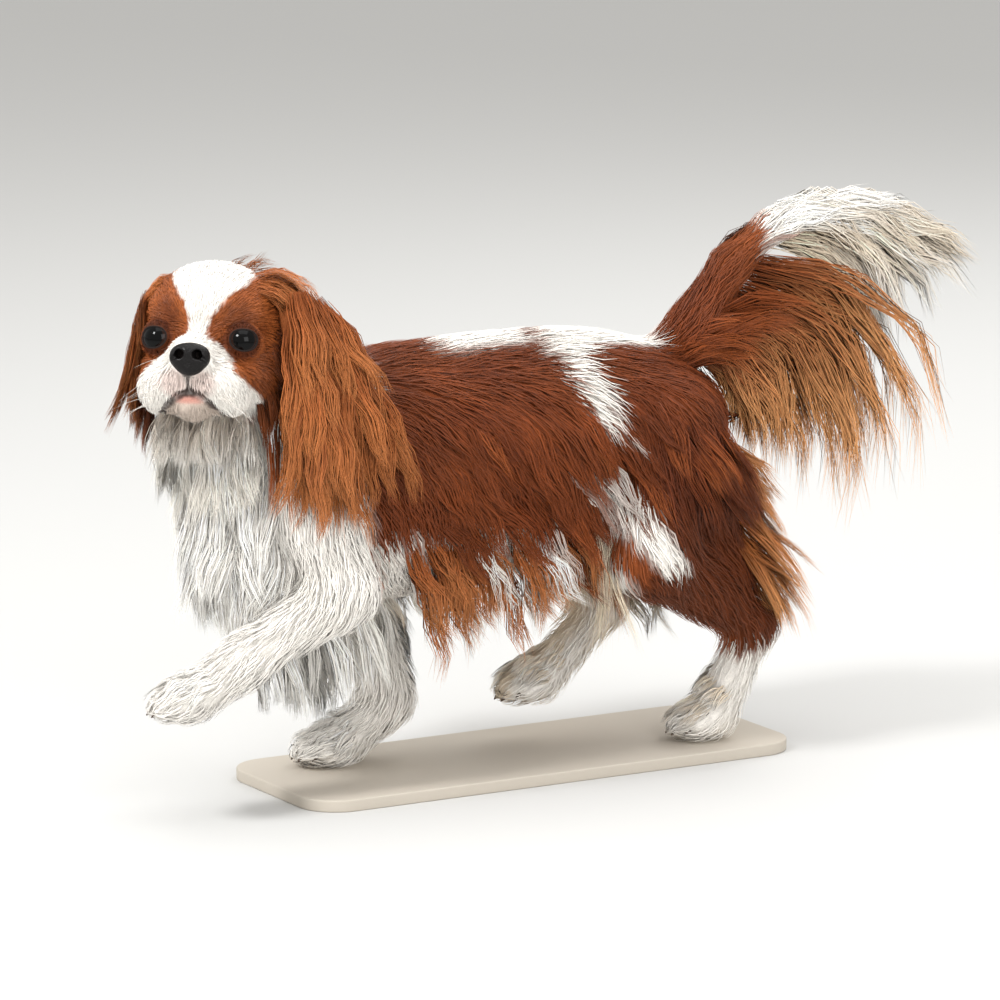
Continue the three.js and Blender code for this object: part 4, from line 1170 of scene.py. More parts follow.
@dataclass(frozen=True)
class LongHair:
    """Locks of long hair from a patch of the body, each of many strands drawn to its tip.

    roots holds rows of places from the top of the patch to its foot. leave, end and lengths say
    how the locks leave the body, which way their tips point and how long they are, in rows like
    the roots' or in one. out is the way that the locks' wide side faces, or none for the skin's.
    """

    roots: Sequence[Line]
    leave: Sequence[Line] | Line
    end: Sequence[Line] | Line
    lengths: Sequence[float]
    locks: int
    strands: int
    width: float
    thick: float
    colours: tuple[Colour, Colour]
    seed: int
    out: Sequence[float] | None = None
    strand: float = 0.95
    wave: float = 3.0
    wave_length: float = 42.0
    stray: float = 0.12
    depth: float = 4.0
    marked: float = 0.0
    on_skin: bool = True
    rings: int = 4
    gather: float = 0.65
    behind: float = -0.7

    def turned(self, turn: Points, middle: Points | float = 0.0) -> "LongHair":
        """The same hair turned about a place, with other draws."""
        out = self.out if self.out is None else tuple(np.array(self.out) @ turn)
        return replace(
            self, roots=((np.array(self.roots, float) - middle) @ turn + middle).tolist(),
            leave=(np.array(self.leave, float) @ turn).tolist(),
            end=(np.array(self.end, float) @ turn).tolist(), out=out, seed=self.seed + 500,
        )

    def mirrored(self) -> "LongHair":
        """The same hair on the other side of the body."""
        return self.turned(MIRROR)

    def across_head(self) -> "LongHair":
        """The same hair on the other side of the head."""
        return self.turned(HEAD_AXES.T @ MIRROR @ HEAD_AXES, EYE_LINE)

    def grow(self) -> Hair:
        """Grows the locks and parts them into strands.

        A lock marches from its root, its way turning evenly from leave to end, and is kept off
        the skin. A strand keeps its place in the lock's flat section, which narrows to the tip by
        gather, starts a little way along it, and waves in step with its neighbours.

        Returns:
            The strands.
        """
        draw = np.random.default_rng(self.seed)
        n = self.locks
        down, across_share = draw.uniform(0, 1, (2, n))
        roots = blend_rows(self.roots, down, across_share)
        if self.on_skin:
            roots = settle(DOG.skin, roots, -1.0, 4)
        normals = outwards(DOG.skin, roots)
        if self.out is not None:
            normals = np.broadcast_to(unit(np.array(self.out, float)), roots.shape).copy()
        leave, end = (
            unit(blend_rows(rows, down, across_share)) + draw.normal(0, self.stray, (n, 3))
            for rows in (self.leave, self.end)
        )
        lengths = np.interp(across_share, np.linspace(0, 1, len(self.lengths)), self.lengths)
        lengths = lengths * draw.uniform(0.72, 1.12, n)
        p = roots.copy()
        path = [p]
        layer = draw.uniform(0.2, 1.0, n) * self.depth
        for k in range(LOCK_STEPS):
            t = (k + 0.5) / LOCK_STEPS
            p = p + unit(leave * (1 - t) + end * t) * (lengths / LOCK_STEPS)[:, None]
            short = np.maximum(layer * min(1.0, 3 * t) - DOG.skin(p), 0)
            p = p + outwards(DOG.skin, p) * short[:, None]
            p[:, 2] = np.maximum(p[:, 2], 2.0)
            path.append(p)
        return self.part(draw, np.stack(path, 1), normals, lengths)

    def part(
        self, draw: np.random.Generator, guide: Points, normals: Points, lengths: np.ndarray,
    ) -> Hair:
        """Parts each lock's guide into strands, as grow says."""
        n, m, rings = len(guide), self.strands, self.rings
        across, face = frames(guide, normals[:, None])
        a = draw.uniform(-1, 1, (n, m))
        b = draw.uniform(-1, 1, (n, m))
        begin = draw.uniform(0, 0.3, (n, m)) ** 1.2
        finish = draw.uniform(0.78, 1.0, (n, m))
        t = begin[..., None] + (finish - begin)[..., None] * np.linspace(0, 1, rings + 1)
        t[:, : m // 3, 0] = 0
        place = t * (guide.shape[1] - 1)
        low = np.minimum(place.astype(int), guide.shape[1] - 2)
        rest = (place - low)[..., None]
        pick = np.arange(n)[:, None, None]

        def at(table: Points) -> Points:
            """Values of a table along the guides, at each strand's own shares."""
            return table[pick, low] * (1 - rest) + table[pick, low + 1] * rest

        narrow = self.gather * np.maximum((t - 0.25) / 0.75, 0) ** 1.2
        spread = np.where(t < 0.25, 0.7 + 1.2 * t, 1 - narrow)[..., None]
        phase = ripple(guide[:, 0], 45, self.seed + 1) * 4 + draw.uniform(-0.7, 0.7, n)
        phase = phase[:, None, None] + (0.9 * a + draw.normal(0, 0.4, (n, m)))[..., None]
        swing = self.wave * np.sin(2 * math.pi * t * lengths[:, None, None] / self.wave_length + phase)
        swing = (swing * np.minimum(1, 2.5 * t))[..., None]
        off_a = (a * self.width / 2)[..., None, None] * spread + swing
        off_b = (b * self.thick / 2)[..., None, None] * spread + 0.35 * swing
        loose = draw.normal(0, 1, (n, m, 1, 3)) * (t**2)[..., None] * lengths[:, None, None, None] * 0.02
        paths = at(guide) + at(across) * off_a + at(face) * off_b + loose
        count = n * m
        tone = draw.normal(1, 0.10, (n, 1)) * draw.normal(1, 0.16, (n, m))
        # Painted shade: strands towards the lock's outer face are painted lighter and those towards the
        # skin darker, on top of a random tone.
        tone = (tone.reshape(-1) * (1 + 0.15 * (b.reshape(-1))))[:, None]
        root_colour, tip_colour = (np.array(colour) for colour in self.colours)
        marks = np.repeat(MARKINGS.paint(guide[:, 4]), m, axis=0)
        chosen = np.repeat(draw.uniform(0, 1, n) < self.marked, m)[:, None] * 0.9
        root_paint = root_colour * (1 - chosen) + marks * chosen
        tip_paint = tip_colour * (1 - chosen) + marks * 1.15 * chosen
        outs = np.repeat(normals, m, axis=0) * np.where(b.reshape(-1, 1) < self.behind, -1.0, 1.0)
        return Hair(
            paths.reshape(count, rings + 1, 3), outs, self.strand * draw.uniform(0.7, 1.25, count),
            root_paint * tone, tip_paint * (0.4 + 0.6 * tone), np.zeros((count, 2)),
        )


def nose_form() -> Form:
    """The nose: its front, two wings and a foot, without its nostrils."""
    lumps = [
        egg(on_head(NOSE_SIDE, 33, -14.5), (12.5, 8, 7.5), HEAD_AXES),
        egg(on_head(NOSE_SIDE, 32.5, -24.5), (9, 6, 6), HEAD_AXES),
    ]
    lumps += [egg(on_head(NOSE_SIDE + side * 7, 33, -18), (7.5, 7, 7.5), HEAD_AXES) for side in SIDES]
    return fuse(4, *lumps)


SEPARATE_NODES = ("stand_board", "eye_left", "eye_right", "nose", "ear_left", "ear_right")


# Finishes

BUMP_DEPTH = 0.0006


class NodeSheet:
    """Adds nodes to a tree, with their settings and what feeds them."""

    def __init__(self, tree: bpy.types.NodeTree) -> None:
        """Keeps the tree."""
        self.tree = tree

    def feed(self, node: bpy.types.Node, inputs: dict) -> None:
        """Sets a node's inputs.

        Args:
            node: The node.
            inputs: A number, colour or output of another node for each named or numbered input.
        """
        for key, value in inputs.items():
            if isinstance(value, bpy.types.NodeSocket):
                self.tree.links.new(value, node.inputs[key])
            else:
                node.inputs[key].default_value = value

    def add(self, kind: str, inputs: dict | None = None, **settings: object) -> bpy.types.Node:
        """Adds a node.

        Args:
            kind: The node's type.
            inputs: What feeds it.
            settings: The node's own settings.

        Returns:
            The node.
        """
        node = self.tree.nodes.new(kind)
        for name, value in settings.items():
            setattr(node, name, value)
        self.feed(node, inputs or {})
        return node

    def bump(self, height: bpy.types.NodeSocket, strength: float) -> bpy.types.NodeSocket:
        """The normal of a surface that stands up by height."""
        inputs = {"Height": height, "Strength": strength, "Distance": BUMP_DEPTH}
        return self.add("ShaderNodeBump", inputs).outputs["Normal"]


def new_finish(name: str, looks: dict) -> tuple[bpy.types.Material, NodeSheet, bpy.types.Node]:
    """A new material.

    Args:
        name: Its name.
        looks: The inputs of its shader.

    Returns:
        The material, the sheet of its nodes and its shader.
    """
    material = bpy.data.materials.new(name)
    material.use_nodes = True
    sheet = NodeSheet(material.node_tree)
    shader = material.node_tree.nodes["Principled BSDF"]
    sheet.feed(shader, looks)
    return material, sheet, shader


def coat_group(name: str, along_strands: bool) -> bpy.types.NodeTree:
    """A group that breaks paint up with noise.

    Args:
        name: The group's name.
        along_strands: Whether the noise is drawn out along strands, or fine as a short pile is.

    Returns:
        The group, with the broken colour and the noise as a height.
    """
    group = bpy.data.node_groups.new(name, "ShaderNodeTree")
    for side, colour, number in (("INPUT", "Paint", "Strength"), ("OUTPUT", "Colour", "Height")):
        group.interface.new_socket(colour, in_out=side, socket_type="NodeSocketColor")
        group.interface.new_socket(number, in_out=side, socket_type="NodeSocketFloat")
    sheet = NodeSheet(group)
    given = sheet.add("NodeGroupInput")
    if along_strands:
        place = sheet.add("ShaderNodeUVMap", uv_map="Streak").outputs["UV"]
        drawn_out = sheet.add("ShaderNodeMapping", {"Vector": place, "Scale": (5.0, 0.9, 1.0)})
        looks = {"Vector": drawn_out.outputs[0], "Scale": 1.0, "Detail": 2.0}
    else:
        place = sheet.add("ShaderNodeTexCoord").outputs["Object"]
        looks = {"Vector": place, "Scale": 900.0, "Detail": 4.0, "Roughness": 0.6}
    noise = sheet.add("ShaderNodeTexNoise", looks).outputs["Fac"]
    bright = noise
    for operation, value in (("SUBTRACT", 0.5), ("MULTIPLY", given.outputs["Strength"]), ("ADD", 1.0)):
        bright = sheet.add("ShaderNodeMath", {0: bright, 1: value}, operation=operation).outputs[0]
    scaled = {0: given.outputs["Paint"], "Scale": bright}
    colour = sheet.add("ShaderNodeVectorMath", scaled, operation="SCALE")
    sheet.add("NodeGroupOutput", {"Colour": colour.outputs[0], "Height": noise})
    return group


@dataclass(frozen=True)
class PaintedFinish:
    """A finish that takes its colour from the painted markings and breaks it up with a group."""

    name: str
    group: str
    along_strands: bool
    strength: float
    roughness: float
    specular: float
    bump: float

    def material(self) -> bpy.types.Material:
        """Builds the material."""
        looks = {"Roughness": self.roughness, "Specular IOR Level": self.specular}
        material, sheet, shader = new_finish(self.name, looks)
        paint = sheet.add("ShaderNodeAttribute", attribute_name="Paint").outputs["Color"]
        group = sheet.add(
            "ShaderNodeGroup", {"Strength": self.strength, "Paint": paint},
            node_tree=coat_group(self.group, self.along_strands),
        )
        normal = sheet.bump(group.outputs["Height"], self.bump)
        sheet.feed(shader, {"Base Color": group.outputs["Colour"], "Normal": normal})
        return material


@dataclass(frozen=True)
class PlainFinish:
    """A finish of one colour with a fine bump."""

    name: str
    colour: Colour
    roughness: float
    coat: float = 0.0
    grain: float = 0.0
    grain_scale: float = 600.0
    pebbled: bool = False

    def material(self) -> bpy.types.Material:
        """Builds the material."""
        looks = {
            "Base Color": (*self.colour, 1), "Roughness": self.roughness, "Specular IOR Level": 0.14,
            "Coat Weight": self.coat, "Coat Roughness": 0.12,
        }
        material, sheet, shader = new_finish(self.name, looks)
        if self.grain:
            place = sheet.add("ShaderNodeTexCoord").outputs["Object"]
            kind = "ShaderNodeTexVoronoi" if self.pebbled else "ShaderNodeTexNoise"
            pattern = sheet.add(kind, {"Vector": place, "Scale": self.grain_scale})
            sheet.feed(shader, {"Normal": sheet.bump(pattern.outputs[0], self.grain)})
        return material


@dataclass(frozen=True)
class EyeFinish:
    """A wet eye: a pupil, a very dark brown iris and a black rim, by the angle from its axis."""

    name: str = "wet_eye"
    pupil: float = 0.20
    iris_end: float = 0.40

    def material(self) -> bpy.types.Material:
        """Builds the material."""
        looks = {
            "Roughness": 0.12, "Specular IOR Level": 0.04, "Coat Weight": 0.2, "Coat Roughness": 0.015,
        }
        material, sheet, shader = new_finish(self.name, looks)
        angle = sheet.add("ShaderNodeAttribute", attribute_name="Gaze")
        ramp = sheet.add("ShaderNodeValToRGB", {"Fac": angle.outputs["Fac"]})
        stops = ramp.color_ramp.elements
        stops[0].position = 0.0
        stops[0].color = (0.002, 0.002, 0.002, 1)
        stops[1].position = 1.0
        stops[1].color = (0.004, 0.003, 0.003, 1)
        for place, colour in (
            (self.pupil, (0.002, 0.002, 0.002, 1)), (self.pupil + 0.03, (0.020, 0.008, 0.005, 1)),
            (self.iris_end - 0.05, (0.012, 0.005, 0.003, 1)), (self.iris_end, (0.003, 0.002, 0.002, 1)),
        ):
            stops.new(place).color = colour
        sheet.feed(shader, {"Base Color": ramp.outputs["Color"]})
        return material


# The face

@dataclass
class Eye:
    """An eyeball and the lids round its opening."""

    side: int
    wide: float = math.radians(45)
    high: float = math.radians(32.5)
    rim: float = 0.9

    def name(self) -> str:
        """The side's name."""
        return "left" if self.side > 0 else "right"

    def centre(self) -> Points:
        """The middle of the eyeball."""
        return on_head(self.side * EYE_SPREAD, -8, 0)

    def axes(self) -> tuple[Points, Points, Points]:
        """The way that the opening looks, and the ways to its outer corner and its top."""
        axis = eye_axis(self.side)
        top = unit(HEAD_AXES[2] - axis * (HEAD_AXES[2] @ axis))
        return axis, unit(HEAD_LEFT * self.side - axis * (HEAD_LEFT @ axis) * self.side), top

    def along(self, tilt: np.ndarray, turn: np.ndarray) -> Points:
        """The direction at an angle from the opening's axis, turned round it."""
        axis, outer, top = self.axes()
        flat = np.cos(turn)[:, None] * outer + np.sin(turn)[:, None] * top
        return np.cos(tilt)[:, None] * axis + np.sin(tilt)[:, None] * flat

    def build(self, eye: bpy.types.Material, lid: bpy.types.Material) -> None:
        """Makes the eyeball and its lids."""
        node = "eye_" + self.name()
        self.eyeball().piece("eyeball_" + self.name(), eye, Slot.EYE, node)
        self.lids().piece("eyelids_" + self.name(), lid, Slot.NOSE)

    def eyeball(self) -> Surface:
        """A sphere round its gaze, with a slightly prouder front."""
        rows, columns = 40, 64
        tilt = np.repeat(np.linspace(0, math.pi, rows + 2)[1:-1], columns)
        turn = np.tile(np.arange(columns) * 2 * math.pi / columns, rows)
        tilt = np.concatenate([tilt, [0, math.pi]])
        turn = np.concatenate([turn, [0, 0]])
        proud = 1 + 0.03 * np.exp(-((tilt / 0.55) ** 2))
        points = self.centre() + self.along(tilt, turn) * EYE_RADIUS * proud[:, None]
        faces = capped_grid(rows, columns)
        if self.side > 0:
            faces = [face[:, ::-1] for face in faces]
        return Surface(points, faces, values={"Gaze": tilt / math.pi})

    def lid_place(self, share: np.ndarray, turn: np.ndarray) -> Points:
        """Points of the lids: share runs from 0 on the eyeball to 1 where they meet the skin.

        The opening's edge is high + (wide - high)|cos turn|^2.2 from its axis. Up to a share of
        0.22 the lid rolls from the eyeball over its rim, and from there its distance eases to the
        skin's, with one soft fold over the top.
        """
        edge = self.high + (self.wide - self.high) * np.abs(np.cos(turn)) ** 2.2
        edge = edge + 0.06 * np.maximum(-np.sin(turn), 0) - 0.06 * np.maximum(np.sin(turn), 0) ** 2
        reach = edge + math.radians(24)
        roll = np.sin(np.minimum(share / 0.22, 1) * math.pi / 2)
        past = np.maximum(share - 0.22, 0) / 0.78
        tilt = edge + (reach - edge) * past**0.9 + 0.06 * roll
        fade = ease(0.22, 1.0, share)
        fold = 0.4 * np.exp(-(((share - 0.55) / 0.1) ** 2)) * np.maximum(np.sin(turn), 0)
        skin = np.maximum(self.skin_distance(reach, turn) - 0.7 * (share > 0.9), EYE_RADIUS - 0.5)
        start = EYE_RADIUS - 0.3 + (self.rim + 0.3) * roll
        radius = start * (1 - fade) + skin * fade - fold
        return self.centre() + self.along(tilt, turn) * radius[:, None]

    def lids(self) -> Surface:
        """The lids, closed by a second layer a little way inside."""
        rows, columns = 22, 96
        around = np.arange(columns) / columns
        share = np.repeat(np.linspace(0, 1, rows), columns)
        outer = self.lid_place(share, np.tile(around * 2 * math.pi, rows)).reshape(rows, columns, 3)
        inner = outer + unit(self.centre() - outer) * 0.9
        points = np.concatenate([outer, inner[::-1]]).reshape(-1, 3)
        share = np.concatenate([share, share[::-1]])
        under = MARKINGS.paint(points)
        black = (1 - ease(0.20, 0.42, share))[:, None]
        paint = under * (1 - black) + np.array(BLACK) * black
        faces = grid_faces(2 * rows + 1, columns) % (2 * rows * columns)
        if self.side > 0:
            faces = faces[:, ::-1]
        surface = Surface(points, [faces], paint)
        surface.maps["OFBake"] = np.stack([np.tile(around, 2 * rows), share], 1) * 0.9 + 0.05
        return surface

    def fur(self, draw: np.random.Generator, count: int = 900) -> Hair:
        """The short hair of the lids, which leaves their rim and lies outwards."""
        turn = draw.uniform(0, 2 * math.pi, count)
        share = draw.uniform(0.30, 1.0, count)
        root = self.lid_place(share, turn)
        onwards = unit(self.lid_place(np.minimum(share + 0.05, 1), turn) - root + 1e-6)
        out = unit(root - self.centre())
        way = unit(onwards * 0.9 + head_lie(root) * 0.6)
        way = unit(way - np.einsum("ij,ij->i", way, out)[:, None] * out)
        length = draw.uniform(3.5, 6.5, count)[:, None]
        path = [root - out * 0.4, root + way * length * 0.5 + out * 0.5, root + way * length + out * 0.5]
        paint = MARKINGS.paint(root + way * length * 0.4)
        tone = draw.normal(1, 0.15, (count, 1))
        width = draw.uniform(0.5, 0.8, count)
        return Hair(
            np.stack(path, 1), out, width, paint * tone * 0.85, paint * tone * 1.2, SKIN.places_at(root),
        )

    def skin_distance(self, tilt: np.ndarray, turn: np.ndarray) -> np.ndarray:
        """How far the skin is from the eyeball's middle along directions, by marching outwards."""
        way = self.along(tilt, turn)
        reach = np.full(len(turn), EYE_RADIUS - 4.0)
        for _ in range(24):
            reach += np.clip(-DOG.skin(self.centre() + way * reach[:, None]), -0.5, 1.5)
        return reach


@dataclass
class Nose:
    """The nose, with comma-shaped nostrils and the groove between them."""

    step: float = 0.7

    def form(self) -> Form:
        """The nose's form with its holes."""
        tools = []
        for side in SIDES:
            hole = [
                on_head(NOSE_SIDE + side * 6.0, 43, -16.5), on_head(NOSE_SIDE + side * 7.2, 33, -15.5),
            ]
            slit = [on_head(NOSE_SIDE + side * 7.5, 40.5, -17.5), on_head(NOSE_SIDE + side * 13, 37, -20)]
            tools += chain(hole, (3.6, 3.0)) + chain(slit, (2.2, 1.1))
        groove = [on_head(NOSE_SIDE, 42.3, -10), on_head(NOSE_SIDE, 42, -18), on_head(NOSE_SIDE, 39, -31)]
        tools += chain(groove, (0.5, 1.0, 1.3))
        return scoop(1.2, nose_form(), *tools)

    def build(self, material: bpy.types.Material) -> None:
        """Makes the nose."""
        low, high = on_head(0, 34, -18) - 24, on_head(0, 34, -18) + 24
        spans = [np.arange(low[axis], high[axis], self.step) for axis in range(3)]
        surface = surface_net(self.form(), spans)
        surface.piece("nose_leather", material, Slot.NOSE, "nose")


@dataclass
class Whiskers:
    """Long pale whiskers from the beds beside the nose, bent down at their ends."""

    each: int = 9
    seed: int = 31
    thick: float = 0.42

    def build(self, material: bpy.types.Material) -> None:
        """Makes the whiskers."""
        draw = np.random.default_rng(self.seed)
        parts = []
        for side in SIDES:
            for _ in range(self.each):
                root = on_head(side * draw.uniform(13, 24), draw.uniform(8, 26), draw.uniform(-42, -30))
                root = settle(DOG.skin, root[None], -0.8)[0]
                way = np.array(
                    [side * draw.uniform(0.8, 1.3), draw.uniform(0.15, 0.6), draw.uniform(-0.6, -0.1)]
                )
                way = unit(way) @ HEAD_AXES
                length = draw.uniform(22, 40)
                share = np.linspace(0, 1, 9)[:, None]
                path = root + way * length * share - UP * 0.22 * length * share**2
                width = self.thick * (1 - 0.85 * share[:, 0])
                parts.append(swept(path, UP, width, width, 0, 5))
        merged(parts).piece("whiskers", material, Slot.WHITE)


# Ears, claws and the board

@dataclass
class Ear:
    """An ear's leather: a hanging flap, widest a third of the way down and rounded at its tip."""

    name: str
    line: Sequence[Sequence[float]]
    out: Sequence[float]
    width: float = 34.0
    thick: float = 5.0
    cup: float = 3.0

    def build(self, material: bpy.types.Material) -> None:
        """Makes the leather, painted as the ear's skin is."""
        stops = np.array(self.line, float)
        share = np.linspace(0, 1, 26)
        path = smooth_line(stops, share)
        grow = ease(0, 0.3, share)
        past = np.clip((share - 0.3) / 0.7, 0, 1)
        width = self.width * (0.6 + 0.4 * grow) * np.sqrt(np.maximum(1 - past**1.7, 0.01))
        thick = self.thick * (1 - 0.5 * share)
        surface = swept(path, np.array(self.out, float), width, thick, self.cup, 28)
        surface.paint = np.broadcast_to(np.array(FACE) * 0.7, surface.points.shape).copy()
        surface.piece(self.name + "_leather", material, Slot.RUST, self.name)


@dataclass
class Claws:
    """A blunt curved claw at the tip of each toe."""

    width: float = 4.0
    length: float = 8.5

    def build(self, material: bpy.types.Material) -> None:
        """Makes all the claws as one piece."""
        parts = []
        for leg in DOG.legs().values():
            for _, tip, forward in leg.toes():
                start = tip + forward * 2
                share = np.linspace(0, 1, 9)[:, None]
                path = start + forward * (self.length + 1) * share - UP * (self.length * 0.42) * share**2
                width = self.width * np.sqrt(np.maximum(1 - share[:, 0] ** 2.2, 0.02))
                parts.append(swept(path, UP, width * 0.8, width, 0, 12))
        merged(parts).piece("claws", material, Slot.CLAW)


@dataclass
class Board:
    """The plain board: a rectangle with rounded corners and softened edges."""

    width: float = 150.0
    length: float = 410.0
    thick: float = 9.0
    corner: float = 30.0
    soft: float = 1.2

    def build(self, material: bpy.types.Material) -> None:
        """Makes the board from rings of its outline, drawn in by soft (1 - sin) near its faces."""
        turns = np.linspace(0, math.pi / 2, 13)
        outline = []
        for quarter in range(4):
            way = turns + quarter * math.pi / 2
            signs = np.array([(1, 1), (-1, 1), (-1, -1), (1, -1)][quarter])
            centre = signs * np.array([self.width / 2 - self.corner, self.length / 2 - self.corner])
            outline.append(centre + 0 * way[:, None])
            outline.append(np.stack([np.cos(way), np.sin(way)], 1))
        centres = np.concatenate(outline[0::2])
        ways = np.concatenate(outline[1::2])
        bend = np.linspace(0, math.pi / 2, 6)
        rises = np.concatenate(
            [-self.thick + self.soft * (1 - np.cos(bend)), -self.soft * (1 - np.sin(bend))]
        )
        inset = np.concatenate([self.soft * (1 - np.sin(bend)), self.soft * (1 - np.cos(bend))])
        rings = [
            np.column_stack([centres + ways * (self.corner - draw), np.full(len(ways), rise)])
            for rise, draw in zip(rises, inset)
        ]
        points = np.concatenate(rings) + np.array([0, BOARD_MIDDLE_Y, 0])
        columns, rows = len(ways), len(rises)
        around = np.arange(columns)
        faces = [grid_faces(rows, columns), around[::-1][None], (around + (rows - 1) * columns)[None]]
        Surface(points, faces).piece("stand_board_top", material, Slot.STAND, "stand_board")


# The long coat

EAR_LEFT_LINE = [(52, -204, 366), (68, -197, 344), (80, -188, 312), (84, -180, 280)]
EAR_RIGHT_LINE = [
    on_head(-42, -36, 40), on_head(-50, -36, 25), on_head(-52, -34, -4), on_head(-52, -32, -26),
]


def head_row(*stops: Sequence[float]) -> Line:
    """A row of places given along the head's axes."""
    return [on_head(*stop).tolist() for stop in stops]


def head_ways(*rows: Sequence[Sequence[float]]) -> list[Line]:
    """Rows of directions given along the head's axes."""
    return [(np.array(row, float) @ HEAD_AXES).tolist() for row in rows]


def paw_hair(leg: Leg, colour: Colour, seed: int) -> LongHair:
    """The loose hair over a paw, from above the wrist to the toes."""
    forward = unit(leg.toe - leg.palm)
    sideways = unit(np.cross(forward, UP))
    over = unit(np.cross(sideways, forward))
    wrist = leg.palm + 0.35 * (leg.split - leg.palm)
    stops = (wrist, leg.palm, leg.palm + 0.55 * (leg.toe - leg.palm))
    roots = [
        [
            (stop + sideways * side * 16 + over * (14 - 8 * abs(side))).tolist() for side in (-1, 0, 1)
        ] for stop in stops
    ]
    leave = [(forward + sideways * side * 0.3 - UP * 0.1).tolist() for side in (-1, 0, 1)]
    end = [(forward * 0.8 + sideways * side * 0.1 - UP * 0.6).tolist() for side in (-1, 0, 1)]
    return LongHair(
        roots=roots, leave=leave, end=end, lengths=[28, 24, 28], locks=20, strands=28, width=12, thick=4,
        colours=(colour, WHITE), seed=seed, depth=3, strand=0.75, wave=1.5, rings=3, gather=0.5,
        stray=0.18,
    )


